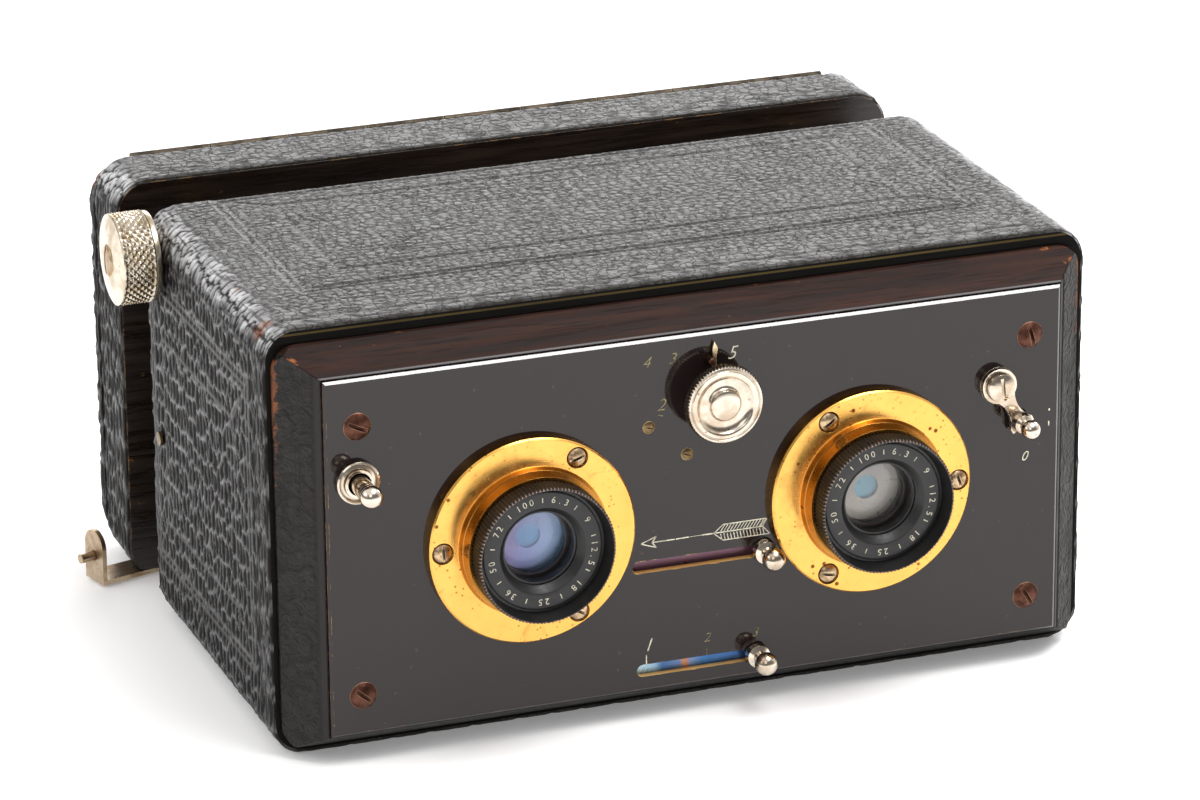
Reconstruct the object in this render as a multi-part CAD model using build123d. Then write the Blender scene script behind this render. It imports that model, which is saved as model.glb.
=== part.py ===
from build123d import *
import math
import os

# Box-form stereo camera for a pair of 60 mm views on one glass plate.
#
# Frame: +X to the right as seen from in front, +Y from the lenses to the back, +Z up.
# The origin is the mouth of the tripod bush in the base. All sizes are millimetres.
# At rest the back is racked out for a near subject, both studs stand at the right,
# the door is shut and its latch is swung forward.

# Overall sizes of the leather-covered box
BODY_HALF = 77.6
BODY_TOP = 79.8
BODY_FRONT = -36.5
BODY_REAR = 35.5
BODY_CORNER = 6.0
LEATHER = 0.7
WALL = 6.0
CEILING = 71.6
FIT = 0.3

# Lenses
LENS_X = 32.1
LENS_Z = 38.35
FLANGE_R = 19.15
FLANGE_FACE = -47.0
FLANGE_SCREW_PITCH_R = 16.7
LENS_RING_R = 12.75
LENS_FRONT = -54.8
ENGRAVED_FACE = -52.0
GLASS_R = 6.5
FRONT_GLASS_VERTEX = -46.9

# Front plate, board behind it and bevelled surround
PLATE_HALF = 69.25
PLATE_BOTTOM = 5.75
PLATE_TOP = 72.1
PLATE_FRONT = -45.0
PLATE_BACK = -43.6
SURROUND_GAP = 0.25
SURROUND_INSET = 1.6
SURROUND_TOP = 76.7
SURROUND_CREST = -44.2
SURROUND_FOOT = -37.4
BOARD_REAR = -33.5
PLATE_SCREW_X = 63.3
PLATE_SCREW_Z = (13.1, 63.4)
PLATE_SCREW_R = 2.55

# Shutter blade and diaphragm plate, which slide sideways behind the front plate
POCKET_FLOOR = -41.6
SLOT_HEIGHT = 2.3
SHUTTER_STUD = (12.0, 29.5)
SHUTTER_TRAVEL = 23.5
SHUTTER_SLOT = (-12.9, 13.4)
STOP_STUD = (10.6, 9.65)
STOP_PITCH = 10.6
STOP_SLOT = (-12.2, 12.0)
STOP_RADII = (2.1, 3.4, 6.0)
STUD_R = 0.85

# Controls on the front plate
SPEED_AXIS = (1.75, 60.3)
SPEED_KNOB_R = 7.2
SPEED_KNOB_FRONT = -51.0
RELEASE_AXIS = (-63.6, 53.4)
MODE_AXIS = (56.7, 55.1)
MODE_ARM = 8.5
MODE_WAIST = 1.15
MODE_ANGLE = -60.0

# Focusing: knob, cross shaft, pinions and racks
SHAFT_Y = 28.5
SHAFT_Z = 73.0
SHAFT_R = 1.3
PINION_X = 60.0
PINION_WIDTH = 4.0
MODULE = 0.5
PINION_TEETH = 11
PITCH_R = MODULE * PINION_TEETH / 2
FOCUS_KNOB_R = 8.45
FOCUS_KNOB_X = (-85.9, -78.6)
FOCUS_KNOB_DOME = 0.7
FOCUS_SCREW_R = 3.0

# Racked-out back
BACK_FRONT = 53.0
BACK_REAR = 67.3
BACK_X = -0.9
BACK_HALF = 77.5
BACK_TOP = 79.3
BACK_CORNER = 6.5
FOCUS_TRAVEL = 17.2
SLEEVE_FRONT = -8.0
SLEEVE_REAR = 58.0
SLEEVE_WALL = 3.0
CHAMBER_HALF = 66.4
CHAMBER_Z = (7.2, 70.0)

# Door with its hinge and latch
DOOR_FRONT = 68.7
DOOR_REAR = 72.0
DOOR_Z = (1.9, 77.1)
HINGE_Y = 68.25
HINGE_Z = 78.6
KNUCKLE_R = 0.9
HINGE_PIN_R = 0.45
HINGE_HALF = 70.0
KNUCKLES = 9
LATCH_PIVOT = (-62.0, 60.0)
LATCH_REACH = 22.8
LATCH_HALF_WIDTH = 3.2
LATCH_REST_DEG = 15.3
LATCH_Z = (0.45, 1.35)
LATCH_RELIEF_TOP = 1.6

# Tripod bush
TRIPOD_BORE_R = 3.9
TRIPOD_DEPTH = 6.0


def block(x, y, z):
    """A box between the given low and high limits on each axis."""
    size = (x[1] - x[0], y[1] - y[0], z[1] - z[0])
    middle = ((x[0] + x[1]) / 2, (y[0] + y[1]) / 2, (z[0] + z[1]) / 2)
    return Pos(*middle) * Box(*size)


def plane_facing_front(y):
    """A sketch plane at depth y, its X to the right and its Y up."""
    return Plane(origin=(0, y, 0), x_dir=(1, 0, 0), z_dir=(0, -1, 0))


def rounded_prism(half, z, corner, y, centre=0):
    """A rounded rectangle, half wide either side of centre, drawn along Y."""
    outline = Pos(centre, (z[0] + z[1]) / 2) * RectangleRounded(2 * half, z[1] - z[0], corner)
    return extrude(plane_facing_front(y[1]) * outline, amount=y[1] - y[0])


def outline_prism(points, y):
    """A closed outline of (x, z) points drawn along Y."""
    face = make_face(Polyline(*[(x, y[1], z) for x, z in points], close=True))
    return extrude(face, amount=y[1] - y[0], dir=(0, -1, 0))


def rod_x(y, z, radius, x):
    """A cylinder along X between two positions."""
    return Pos((x[0] + x[1]) / 2, y, z) * Rot(0, 90, 0) * Cylinder(radius, x[1] - x[0])


def rod_y(x, z, radius, y):
    """A cylinder along Y between two depths."""
    return Pos(x, (y[0] + y[1]) / 2, z) * Rot(90, 0, 0) * Cylinder(radius, y[1] - y[0])


def rod_z(x, y, radius, z):
    """A cylinder along Z between two heights."""
    return Pos(x, y, (z[0] + z[1]) / 2) * Cylinder(radius, z[1] - z[0])


def turned_y(x, z, profile):
    """A turned piece on an axis along Y, from (radius, y) points."""
    face = make_face(Polyline(*[(x + r, y, z) for r, y in profile], close=True))
    return revolve(face, Axis((x, 0, z), (0, 1, 0)))


def turned_x(y, z, profile):
    """A turned piece on an axis along X, from (radius, x) points."""
    face = make_face(Polyline(*[(x, y, z + r) for r, x in profile], close=True))
    return revolve(face, Axis((0, y, z), (1, 0, 0)))


def slot_along_x(x, z, height, y):
    """A round-ended slot along X, cut through the depths in y."""
    radius = height / 2
    low = x[0] + radius
    high = x[1] - radius
    middle = block((low, high), y, (z - radius, z + radius))
    return middle + rod_y(low, z, radius, y) + rod_y(high, z, radius, y)


def slotted_head(x, z, radius, base, rise, slot_deg):
    """A domed screw head on the depth base, standing rise towards the front."""
    sphere_r = (radius**2 + rise**2) / (2 * rise)
    dome = Pos(x, base - rise + sphere_r, z) * Sphere(sphere_r)
    head = dome & rod_y(x, z, radius, (base - rise - 0.1, base))
    cut = Box(2.4 * radius, 1.1 * rise, 0.26 * radius)
    return head - Pos(x, base - rise, z) * Rot(0, slot_deg, 0) * cut


def lens_sides():
    """The left and right eye, as a name and an X position."""
    return (("left", -LENS_X), ("right", LENS_X))


def flange_screw_places():
    """(x, z) of the three screws of each flange, mirrored from eye to eye."""
    radius = FLANGE_SCREW_PITCH_R
    places = []
    for side, degrees in ((-1, (60, 180, 300)), (1, (120, 0, 240))):
        for angle in degrees:
            x = side * LENS_X + radius * math.cos(math.radians(angle))
            z = LENS_Z + radius * math.sin(math.radians(angle))
            places.append((x, z))
    return places


def plate_screw_places():
    """(x, z) of the four corner screws of the front plate."""
    return [(side * PLATE_SCREW_X, z) for side in (-1, 1) for z in PLATE_SCREW_Z]


# Box -----------------------------------------------------------------------------


def make_carcass():
    outer_half = BODY_HALF - LEATHER
    inner_half = outer_half - WALL
    depth = (BODY_FRONT, BODY_REAR)
    outer = rounded_prism(outer_half, (LEATHER, BODY_TOP - LEATHER), BODY_CORNER - LEATHER, depth)
    hollow = block((-inner_half, inner_half), (BODY_FRONT - 1, BODY_REAR + 1), inner_heights())
    shell = outer - hollow
    shaft_way = block((-inner_half, inner_half), around(SHAFT_Y, 1.6), (inner_heights()[1] - 1, 74.6))
    shell -= shaft_way
    for side in (-1, 1):
        pocket_x = around(side * PINION_X, PINION_WIDTH / 2 + 0.5)
        shell -= block(pocket_x, around(SHAFT_Y, 3.9), (inner_heights()[1] - 1, 76.7))
    shell -= rod_x(SHAFT_Y, SHAFT_Z, 2.6, (-outer_half - 1, -inner_half + 1))
    shell -= rod_x(SHAFT_Y, SHAFT_Z, 2.6, (inner_half - 1, 75.0))
    shell -= rod_z(0, 0, 8.0, (0, TRIPOD_DEPTH + 0.5))
    return shell - rod_x(29.6, 36.8, 0.6, (-outer_half - 1, -outer_half + 4))


def inner_heights():
    """Floor and ceiling of the box's hollow."""
    return (LEATHER + WALL, CEILING)


def around(middle, half):
    """Low and high limits half either side of middle."""
    return (middle - half, middle + half)


def make_body_leather():
    """The leather of the box, in four panels that meet along its rounded edges."""
    depth = (BODY_FRONT, BODY_REAR)
    skin = rounded_prism(BODY_HALF, (0, BODY_TOP), BODY_CORNER, depth)
    inner_z = (LEATHER, BODY_TOP - LEATHER)
    inner_depth = (BODY_FRONT - 1, BODY_REAR + 1)
    skin -= rounded_prism(BODY_HALF - LEATHER, inner_z, BODY_CORNER - LEATHER, inner_depth)
    skin -= rod_z(0, 0, 9.5, (-1, 2))
    skin -= rod_x(29.6, 36.8, 0.6, (-BODY_HALF - 1, -BODY_HALF + 2))
    skin -= rod_x(SHAFT_Y, SHAFT_Z, 2.6, (-BODY_HALF - 1, -BODY_HALF + 2))
    return Compound(children=[skin & side for side in panel_prisms(BODY_HALF, BODY_TOP, depth)])


def panel_prisms(half, top, depth, centre=0):
    """Four prisms whose mitred edges cut a box's skin into its four sides."""
    inset = top / 2
    ridge = half - inset
    left = [(-half, 0), (-half, top), (-ridge, inset)]
    right = [(half, 0), (half, top), (ridge, inset)]
    floor = [(-half, 0), (half, 0), (ridge, inset), (-ridge, inset)]
    roof = [(-half, top), (half, top), (ridge, inset), (-ridge, inset)]
    shift = Pos(centre, 0, 0)
    return [shift * outline_prism(points, depth) for points in (left, right, floor, roof)]


def opening():
    """Half width and heights of the surround's opening, which the board fills."""
    return (PLATE_HALF + SURROUND_GAP, (PLATE_BOTTOM - SURROUND_GAP, PLATE_TOP + SURROUND_GAP))


def make_front_board():
    open_half, open_z = opening()
    inner_half = BODY_HALF - LEATHER - WALL
    board = block((-open_half, open_half), (PLATE_BACK, BODY_FRONT), open_z)
    board += block((-inner_half, inner_half), (BODY_FRONT, BOARD_REAR), inner_heights())
    pocket_y = (PLATE_BACK - 1, POCKET_FLOOR)
    board -= block((-65.0, 61.8), pocket_y, (24.5, 51.5))
    board -= block((-17.0, 45.0), pocket_y, (6.9, 26.0))
    board -= block((-36.0, 45.0), pocket_y, (6.9, 12.6))
    for _, x in lens_sides():
        board -= rod_y(x, LENS_Z, 9.5, (PLATE_BACK - 1, BOARD_REAR + 1))
    board -= rod_y(*SPEED_AXIS, 6.2, pocket_y)
    board -= rod_y(*SPEED_AXIS, 1.9, (PLATE_BACK, -39.0))
    board -= rod_y(*RELEASE_AXIS, 3.4, (PLATE_BACK - 1, -34.2))
    board -= rod_y(*RELEASE_AXIS, 2.0, (PLATE_BACK, BOARD_REAR + 1))
    board -= rod_y(*MODE_AXIS, 1.2, (PLATE_BACK - 1, -40.0))
    for x, z in plate_screw_places():
        board -= rod_y(x, z, 1.1, (PLATE_BACK - 1, -39.0))
    return board


def make_surround():
    """The bevelled frame round the front plate, as four mitred mouldings."""
    outer_half = BODY_HALF - SURROUND_INSET
    outer_z = (SURROUND_INSET, SURROUND_TOP)
    open_half, open_z = opening()
    foot = plane_facing_front(SURROUND_FOOT) * rectangle_between(outer_half, outer_z)
    crest = plane_facing_front(SURROUND_CREST) * rectangle_between(open_half, open_z)
    frustum = loft([foot, crest])
    frustum += block((-outer_half, outer_half), (SURROUND_FOOT, BODY_FRONT), outer_z)
    frustum -= block((-open_half, open_half), (SURROUND_CREST - 1, BODY_FRONT + 1), open_z)
    frustum &= rounded_prism(outer_half, outer_z, BODY_CORNER - SURROUND_INSET, (-46, BODY_FRONT))
    low, high = open_z
    floor, ceiling = outer_z
    mitres = {
        "top": [(-outer_half, ceiling), (outer_half, ceiling), (open_half, high), (-open_half, high)],
        "bottom": [(-outer_half, floor), (outer_half, floor), (open_half, low), (-open_half, low)],
        "left": [(-outer_half, floor), (-outer_half, ceiling), (-open_half, high), (-open_half, low)],
        "right": [(outer_half, floor), (outer_half, ceiling), (open_half, high), (open_half, low)],
    }
    return {side: frustum & outline_prism(points, (-46, BODY_FRONT)) for side, points in mitres.items()}


def rectangle_between(half, z):
    """A sketch rectangle symmetric in X between two heights."""
    return Pos(0, (z[0] + z[1]) / 2) * Rectangle(2 * half, z[1] - z[0])


def make_septum_front():
    return block((0.3, 1.3), (BOARD_REAR, -2.0), (10.4, 67.9))


def make_tripod_bush():
    bush = rod_z(0, 0, 9.5, (0, LEATHER)) + rod_z(0, 0, 8.0, (LEATHER, TRIPOD_DEPTH + 0.5))
    return bush - rod_z(0, 0, TRIPOD_BORE_R, (-1, TRIPOD_DEPTH))


def make_side_nail():
    head = rod_x(29.6, 36.8, 1.3, (-BODY_HALF - 0.5, -BODY_HALF))
    return head + rod_x(29.6, 36.8, 0.6, (-BODY_HALF, -BODY_HALF + 4))


# Front plate and lenses ------------------------------------------------------------


def make_front_plate():
    depth = (PLATE_FRONT, PLATE_BACK)
    plate = block((-PLATE_HALF, PLATE_HALF), depth, (PLATE_BOTTOM, PLATE_TOP))
    plate = chamfer(plate.faces().sort_by(Axis.Y)[0].edges(), 0.45)
    cut = (PLATE_FRONT - 1, PLATE_BACK + 1)
    for _, x in lens_sides():
        plate -= rod_y(x, LENS_Z, 12.0, cut)
    plate -= slot_along_x(SHUTTER_SLOT, SHUTTER_STUD[1], SLOT_HEIGHT, cut)
    plate -= slot_along_x(STOP_SLOT, STOP_STUD[1], SLOT_HEIGHT, cut)
    for x, z in plate_screw_places():
        plate -= rod_y(x, z, 1.1, cut)
    for x, z in flange_screw_places():
        plate -= rod_y(x, z, 0.8, cut)
    for place, radius in ((SPEED_AXIS, 1.56), (RELEASE_AXIS, 2.4), (MODE_AXIS, 1.2)):
        plate -= rod_y(*place, radius, cut)
    for x, z in mechanism_screw_places():
        plate -= rod_y(x, z, 0.7, cut)
    return plate - rod_y(*stop_pin_place(), 0.55, cut)


def mechanism_screw_places():
    """(x, z) of the two small screws that hold the blade guides."""
    return [(-9.7, 55.8), (-2.5, 49.8)]


def stop_pin_place():
    """(x, z) of the pin that limits the speed knob."""
    return (1.3, 67.5)


def make_plate_screws():
    screws = []
    for (x, z), slot in zip(plate_screw_places(), (40, 25, 60, 75)):
        head = slotted_head(x, z, PLATE_SCREW_R, PLATE_FRONT, 1.1, slot)
        screws.append(head + rod_y(x, z, 1.1, (PLATE_FRONT, -39.0)))
    return Compound(children=screws)


def make_flange_screws():
    screws = []
    for (x, z), slot in zip(flange_screw_places(), (-20, 85, 30, -35, 70, 10)):
        seat = FLANGE_FACE + 0.4
        head = slotted_head(x, z, 1.95, seat, 0.9, slot)
        screws.append(head + rod_y(x, z, 0.8, (seat, PLATE_BACK)))
    return Compound(children=screws)


def make_mechanism_screws():
    screws = []
    for x, z in mechanism_screw_places():
        head = slotted_head(x, z, 1.2, PLATE_FRONT, 0.35, 20)
        screws.append(head + rod_y(x, z, 0.7, (PLATE_FRONT, PLATE_BACK)))
    return Compound(children=screws)


def make_stop_pin():
    return rod_y(*stop_pin_place(), 0.55, (-47.6, PLATE_BACK))


def make_lens_flange(x):
    """A wide flat ring with a tapering boss that holds the lens mount."""
    profile = [
        (12.0, PLATE_FRONT),
        (FLANGE_R, PLATE_FRONT),
        (FLANGE_R, FLANGE_FACE + 0.3),
        (FLANGE_R - 0.3, FLANGE_FACE),
        (13.95, FLANGE_FACE),
        (13.8, FLANGE_FACE - 0.5),
        (13.6, FLANGE_FACE - 1.2),
        (13.35, FLANGE_FACE - 1.3),
        (13.5, FLANGE_FACE - 1.45),
        (13.2, FLANGE_FACE - 3.6),
        (12.0, FLANGE_FACE - 3.6),
    ]
    flange = turned_y(x, LENS_Z, profile)
    for screw_x, screw_z in flange_screw_places():
        if abs(screw_x - x) < FLANGE_R:
            flange -= rod_y(screw_x, screw_z, 0.8, (-50, -44))
            flange -= rod_y(screw_x, screw_z, 2.0, (-50, FLANGE_FACE + 0.4))
    return flange


def make_lens_mount(x):
    """The black lens mount: milled ring in front, dished face, shank through the flange."""
    rim = LENS_RING_R
    face = ENGRAVED_FACE
    profile = [
        (5.8, PLATE_BACK - 0.1),
        (12.0, PLATE_BACK - 0.1),
        (12.0, FLANGE_FACE - 3.6),
        (rim, FLANGE_FACE - 3.6),
        (rim, LENS_FRONT + 0.3),
        (rim - 0.15, LENS_FRONT),
        (rim - 0.55, LENS_FRONT),
        (rim - 0.8, LENS_FRONT + 0.9),
        (11.5, face - 0.5),
        (11.2, face + 0.4),
        (10.95, face + 0.4),
        (10.95, face),
        (8.05, face),
        (7.1, face + 1.4),
        (6.9, face + 1.4),
        (6.9, face + 1.9),
        (GLASS_R, face + 1.9),
        (GLASS_R, FRONT_GLASS_VERTEX + 2.7),
        (5.8, FRONT_GLASS_VERTEX + 2.7),
    ]
    return turned_y(x, LENS_Z, profile)


def front_crown(x):
    """The ball whose surface is the outer face of a front element."""
    return Pos(x, FRONT_GLASS_VERTEX + 24, LENS_Z) * Sphere(24)


def make_front_glass(x):
    """The front element, its outer face a shallow dome."""
    depth = (FRONT_GLASS_VERTEX - 0.1, FRONT_GLASS_VERTEX + 2.7)
    return front_crown(x) & rod_y(x, LENS_Z, GLASS_R, depth)


def make_retaining_rings():
    """The thin threaded ring in front of each front element."""
    front = FRONT_GLASS_VERTEX - 0.5
    back = FRONT_GLASS_VERTEX + 1.2
    profile = [(5.95, front), (GLASS_R, front), (GLASS_R, back), (5.95, back)]
    return Compound(children=[turned_y(x, LENS_Z, profile) - front_crown(x) for _, x in lens_sides()])


def make_rear_cell(x):
    profile = [(7.0, -41.3), (9.5, -41.3), (9.5, -31.5), (6.2, -31.5), (6.2, -32.3), (7.0, -32.3)]
    return turned_y(x, LENS_Z, profile)


def make_rear_glass(x):
    """The rear element, domed towards the plate."""
    crown = Pos(x, -32.3 - 30, LENS_Z) * Sphere(30)
    return crown & rod_y(x, LENS_Z, 7.0, (-36.0, -32.0))


def make_blade_guides():
    depth = (-42.8, POCKET_FLOOR)
    rails = [block((-61.0, 61.0), depth, (49.3, 51.3)), block((-61.0, 61.0), depth, (24.7, 26.7))]
    return Compound(children=rails)


# Shutter blade and diaphragm -------------------------------------------------------


def make_shutter_blade():
    blade = block((-41.0, 59.0), (-42.65, -42.15), (27.0, 49.0))
    for _, x in lens_sides():
        window = around(x + SHUTTER_TRAVEL / 2, 5.0)
        blade -= block(window, (-44, -41), around(LENS_Z, 7.5))
    return blade


def make_stud(place, tail):
    """A finger stud whose shank passes through a slot to the depth tail."""
    profile = [
        (0, tail),
        (STUD_R, tail),
        (STUD_R, -45.2),
        (2.2, -45.2),
        (2.3, -45.6),
        (2.1, -46.6),
        (1.2, -47.0),
        (1.15, -48.4),
        (0, -48.4),
    ]
    ball = Pos(place[0], -50.0, place[1]) * Sphere(2.1)
    return turned_y(*place, profile) + ball


def make_stop_plate():
    """The diaphragm plate: three stops for each eye and a foot that fills its stud's slot."""
    depth = (-43.35, -42.95)
    reach = STOP_PITCH * (len(STOP_RADII) - 1)
    plate = block((-LENS_X - 6.0, LENS_X + reach + 7.5), depth, (31.0, 46.5))
    plate += block((36.0, 42.0), depth, (7.4, 31.0))
    plate += block((-13.5, 42.0), depth, (7.4, 12.0))
    for _, x in lens_sides():
        for number, radius in enumerate(STOP_RADII):
            plate -= rod_y(x + number * STOP_PITCH, LENS_Z, radius, (-44, -42))
    return plate


# Front controls --------------------------------------------------------------------


def make_speed_knob():
    front = SPEED_KNOB_FRONT
    profile = [
        (0, front - 0.2),
        (2.7, front - 0.2),
        (2.95, front + 0.05),
        (3.1, front + 0.7),
        (5.3, front + 0.5),
        (5.6, front),
        (6.6, front + 0.1),
        (SPEED_KNOB_R, front + 0.6),
        (SPEED_KNOB_R, front + 2.3),
        (6.0, front + 2.7),
        (2.6, front + 2.9),
        (2.6, -45.9),
        (1.5, -45.9),
        (1.5, -39.4),
        (0, -39.4),
    ]
    return turned_y(*SPEED_AXIS, profile)


def make_speed_pointer():
    """The leaf under the speed knob that points at the numbers."""
    x, z = SPEED_AXIS
    points = [(x - 0.7, z), (x + 0.9, z), (x + 1.0, z + 7.2), (x + 1.3, z + 8.9)]
    points += [(x + 0.65, z + 10.2), (x + 0.3, z + 8.9), (x + 0.4, z + 7.2)]
    leaf = outline_prism(points, (-45.8, -45.4)) + rod_y(x, z, 2.6, (-45.8, -45.4))
    return leaf - rod_y(x, z, 1.5, (-47, -44))


def make_tension_cam():
    """The cam on the speed knob's shaft, behind the plate."""
    x, z = SPEED_AXIS
    cam = rod_y(x, z, 3.2, (-43.2, -42.2)) + rod_y(x + 1.6, z, 3.2, (-43.2, -42.2))
    return cam - rod_y(x, z, 1.5, (-44, -41))


def make_release_bush():
    profile = [
        (1.8, PLATE_BACK),
        (1.8, -46.5),
        (2.1, -46.8),
        (2.6, -46.8),
        (2.75, -46.1),
        (3.3, -45.9),
        (3.6, -46.4),
        (3.9, -46.2),
        (3.9, PLATE_FRONT),
        (2.4, PLATE_FRONT),
        (2.4, PLATE_BACK),
    ]
    return turned_y(*RELEASE_AXIS, profile)


def make_release_button():
    """The finger rod with its ball end, a stop collar behind the plate and a thin tail."""
    x, z = RELEASE_AXIS
    rod = rod_y(x, z, 1.74, (-51.4, -43.4)) + rod_y(x, z, 1.2, (-53.0, -33.0))
    collar = rod_y(x, z, 2.9, (-43.4, -42.9))
    return rod + collar + Pos(x, -53.2, z) * Sphere(2.05)


def make_release_spring():
    """The coil spring behind the release button's collar."""
    x, z = RELEASE_AXIS
    coil = Helix(pitch=1.15, height=4.6, radius=2.2)
    wire = sweep(Plane(coil @ 0, z_dir=coil % 0) * Circle(0.25), path=coil, is_frenet=True)
    return Pos(x, -38.05, z) * Rot(90, 0, 0) * wire


def make_mode_seat():
    """The collar on the plate that the time lever turns against."""
    ring = rod_y(*MODE_AXIS, 3.4, (-46.0, PLATE_FRONT))
    return ring - rod_y(*MODE_AXIS, 1.2, (-47, -44))


def make_mode_screw():
    head = slotted_head(*MODE_AXIS, 2.55, -48.0, 0.7, 85)
    collar = rod_y(*MODE_AXIS, 2.55, (-48.0, -47.0))
    return head + collar + rod_y(*MODE_AXIS, 1.2, (-47.0, -40.0))


def make_mode_lever():
    """The waisted lever with a flared end that carries a ball."""
    x, z = MODE_AXIS
    depth = (-46.95, -46.05)
    end = x + MODE_ARM + 1.1
    points = [(x, z - 2.7), (end, z - 2.3), (end, z + 2.3), (x, z + 2.7)]
    arm = outline_prism(points, depth)
    for side in (-1, 1):
        arm -= rod_y(x + 5.3, z + side * (5.4 + MODE_WAIST), 5.4, (-48, -45))
    arm += rod_y(x, z, 3.3, depth)
    arm -= rod_y(x, z, 1.25, (-48, -45))
    post = [(0, -46.5), (1.9, -46.95), (1.7, -48.4), (1.0, -48.9), (1.0, -50.0), (0, -50.0)]
    arm += turned_y(x + MODE_ARM, z, post)
    arm += Pos(x + MODE_ARM, -51.2, z) * Sphere(1.75)
    turn = Pos(x, 0, z) * Rot(0, -MODE_ANGLE, 0) * Pos(-x, 0, -z)
    return turn * arm


# Focusing gear ---------------------------------------------------------------------


def make_focus_knob():
    """The knurled knob on the left side, its face slightly domed."""
    outer, inner = FOCUS_KNOB_X
    profile = [
        (0, outer - FOCUS_KNOB_DOME),
        (FOCUS_SCREW_R + 0.1, outer - FOCUS_KNOB_DOME),
        (5.5, outer - 0.45),
        (7.3, outer - 0.15),
        (FOCUS_KNOB_R - 0.3, outer),
        (FOCUS_KNOB_R, outer + 0.3),
        (FOCUS_KNOB_R, inner - 1.2),
        (FOCUS_KNOB_R - 0.25, inner - 1.1),
        (FOCUS_KNOB_R - 0.25, inner - 0.3),
        (FOCUS_KNOB_R - 0.6, inner),
        (0, inner),
    ]
    return turned_x(SHAFT_Y, SHAFT_Z, profile) - rod_x(SHAFT_Y, SHAFT_Z, SHAFT_R, (-90, -75))


def make_focus_knob_screw():
    """The slotted screw that holds the knob on the end of its shaft."""
    seat = FOCUS_KNOB_X[0] - FOCUS_KNOB_DOME
    face = seat - 0.6
    profile = [
        (0, face),
        (1.6, face + 0.06),
        (FOCUS_SCREW_R - 0.4, face + 0.25),
        (FOCUS_SCREW_R, seat),
        (SHAFT_R - 0.05, seat),
        (SHAFT_R - 0.05, seat + 1.1),
        (0, seat + 1.1),
    ]
    slot = block((face - 0.1, face + 0.35), around(SHAFT_Y, 0.35), around(SHAFT_Z, 3.5))
    return turned_x(SHAFT_Y, SHAFT_Z, profile) - slot


def make_focus_shaft():
    return rod_x(SHAFT_Y, SHAFT_Z, SHAFT_R, (FOCUS_KNOB_X[0] + 0.5, 74.0))


def gear_tooth_half_widths():
    """(height above the pitch line, half width) of a pinion tooth, root to tip."""
    return ((-0.55, 0.52), (0.0, 0.34), (0.38, 0.17))


def make_pinions():
    """Two spur pinions with a tooth straight down, cut with generous backlash."""
    gears = []
    for side in (-1, 1):
        x = around(side * PINION_X, PINION_WIDTH / 2)
        gear = rod_x(SHAFT_Y, SHAFT_Z, PITCH_R - 0.5, x)
        for number in range(PINION_TEETH):
            gear += Pos(0, SHAFT_Y, SHAFT_Z) * Rot(360 / PINION_TEETH * number, 0, 0) * pinion_tooth(x)
        gears.append(gear - rod_x(SHAFT_Y, SHAFT_Z, SHAFT_R, (x[0] - 1, x[1] + 1)))
    return Compound(children=gears)


def pinion_tooth(x):
    """One tooth pointing down from an axis along X through the origin."""
    right = [(half, -(PITCH_R + height)) for height, half in gear_tooth_half_widths()]
    left = [(-y, z) for y, z in reversed(right)]
    root = [(-0.5, -(PITCH_R - 1.0)), (0.5, -(PITCH_R - 1.0))]
    face = make_face(Polyline(*[(x[1], y, z) for y, z in root + right + left], close=True))
    return extrude(face, amount=x[1] - x[0], dir=(-1, 0, 0))


def make_racks():
    """Two brass racks let into the top of the sleeve, under the pinions."""
    pitch = math.pi * MODULE
    line = SHAFT_Z - PITCH_R
    first = SHAFT_Y - 1.5 * pitch
    racks = []
    for side in (-1, 1):
        x = around(side * PINION_X, PINION_WIDTH / 2)
        rack = block(x, rack_limits(), (rack_floor(), line - 0.5))
        for number in range(14):
            rack += rack_tooth(x, first + number * pitch, line)
        racks.append(rack)
    return Compound(children=racks)


def rack_limits():
    """Where the racks start and end along Y."""
    pitch = math.pi * MODULE
    return (SHAFT_Y - 2.2 * pitch, SHAFT_Y + 13.0 * pitch)


def rack_floor():
    """Height of the underside of the racks."""
    return SHAFT_Z - PITCH_R - 0.95


def rack_tooth(x, y, line):
    """One straight-sided rack tooth centred at y."""
    points = [(y - 0.52, line - 0.55), (y - 0.34, line), (y - 0.2, line + 0.38)]
    points += [(y + 0.2, line + 0.38), (y + 0.34, line), (y + 0.52, line - 0.55)]
    face = make_face(Polyline(*[(x[1], p, z) for p, z in points], close=True))
    return extrude(face, amount=x[1] - x[0], dir=(-1, 0, 0))


def make_shaft_bushes():
    """Bearings for the cross shaft, in the left and right walls."""
    inner_half = BODY_HALF - LEATHER - WALL
    left = rod_x(SHAFT_Y, SHAFT_Z, 2.6, (-BODY_HALF - 0.7, -inner_half))
    left += rod_x(SHAFT_Y, SHAFT_Z, 4.0, (-BODY_HALF - 0.6, -BODY_HALF))
    right = rod_x(SHAFT_Y, SHAFT_Z, 2.6, (inner_half, 75.0))
    bushes = [left, right]
    bore = rod_x(SHAFT_Y, SHAFT_Z, SHAFT_R + 0.05, (-80, 74.3))
    return Compound(children=[bush - bore for bush in bushes])


# Racked-out back -------------------------------------------------------------------


def sleeve_half():
    """Half the outer width of the sleeve, with running room in the box."""
    return BODY_HALF - LEATHER - WALL - FIT


def sleeve_heights():
    """Underside and top of the sleeve."""
    floor, ceiling = inner_heights()
    return (floor + FIT, ceiling - FIT)


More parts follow.
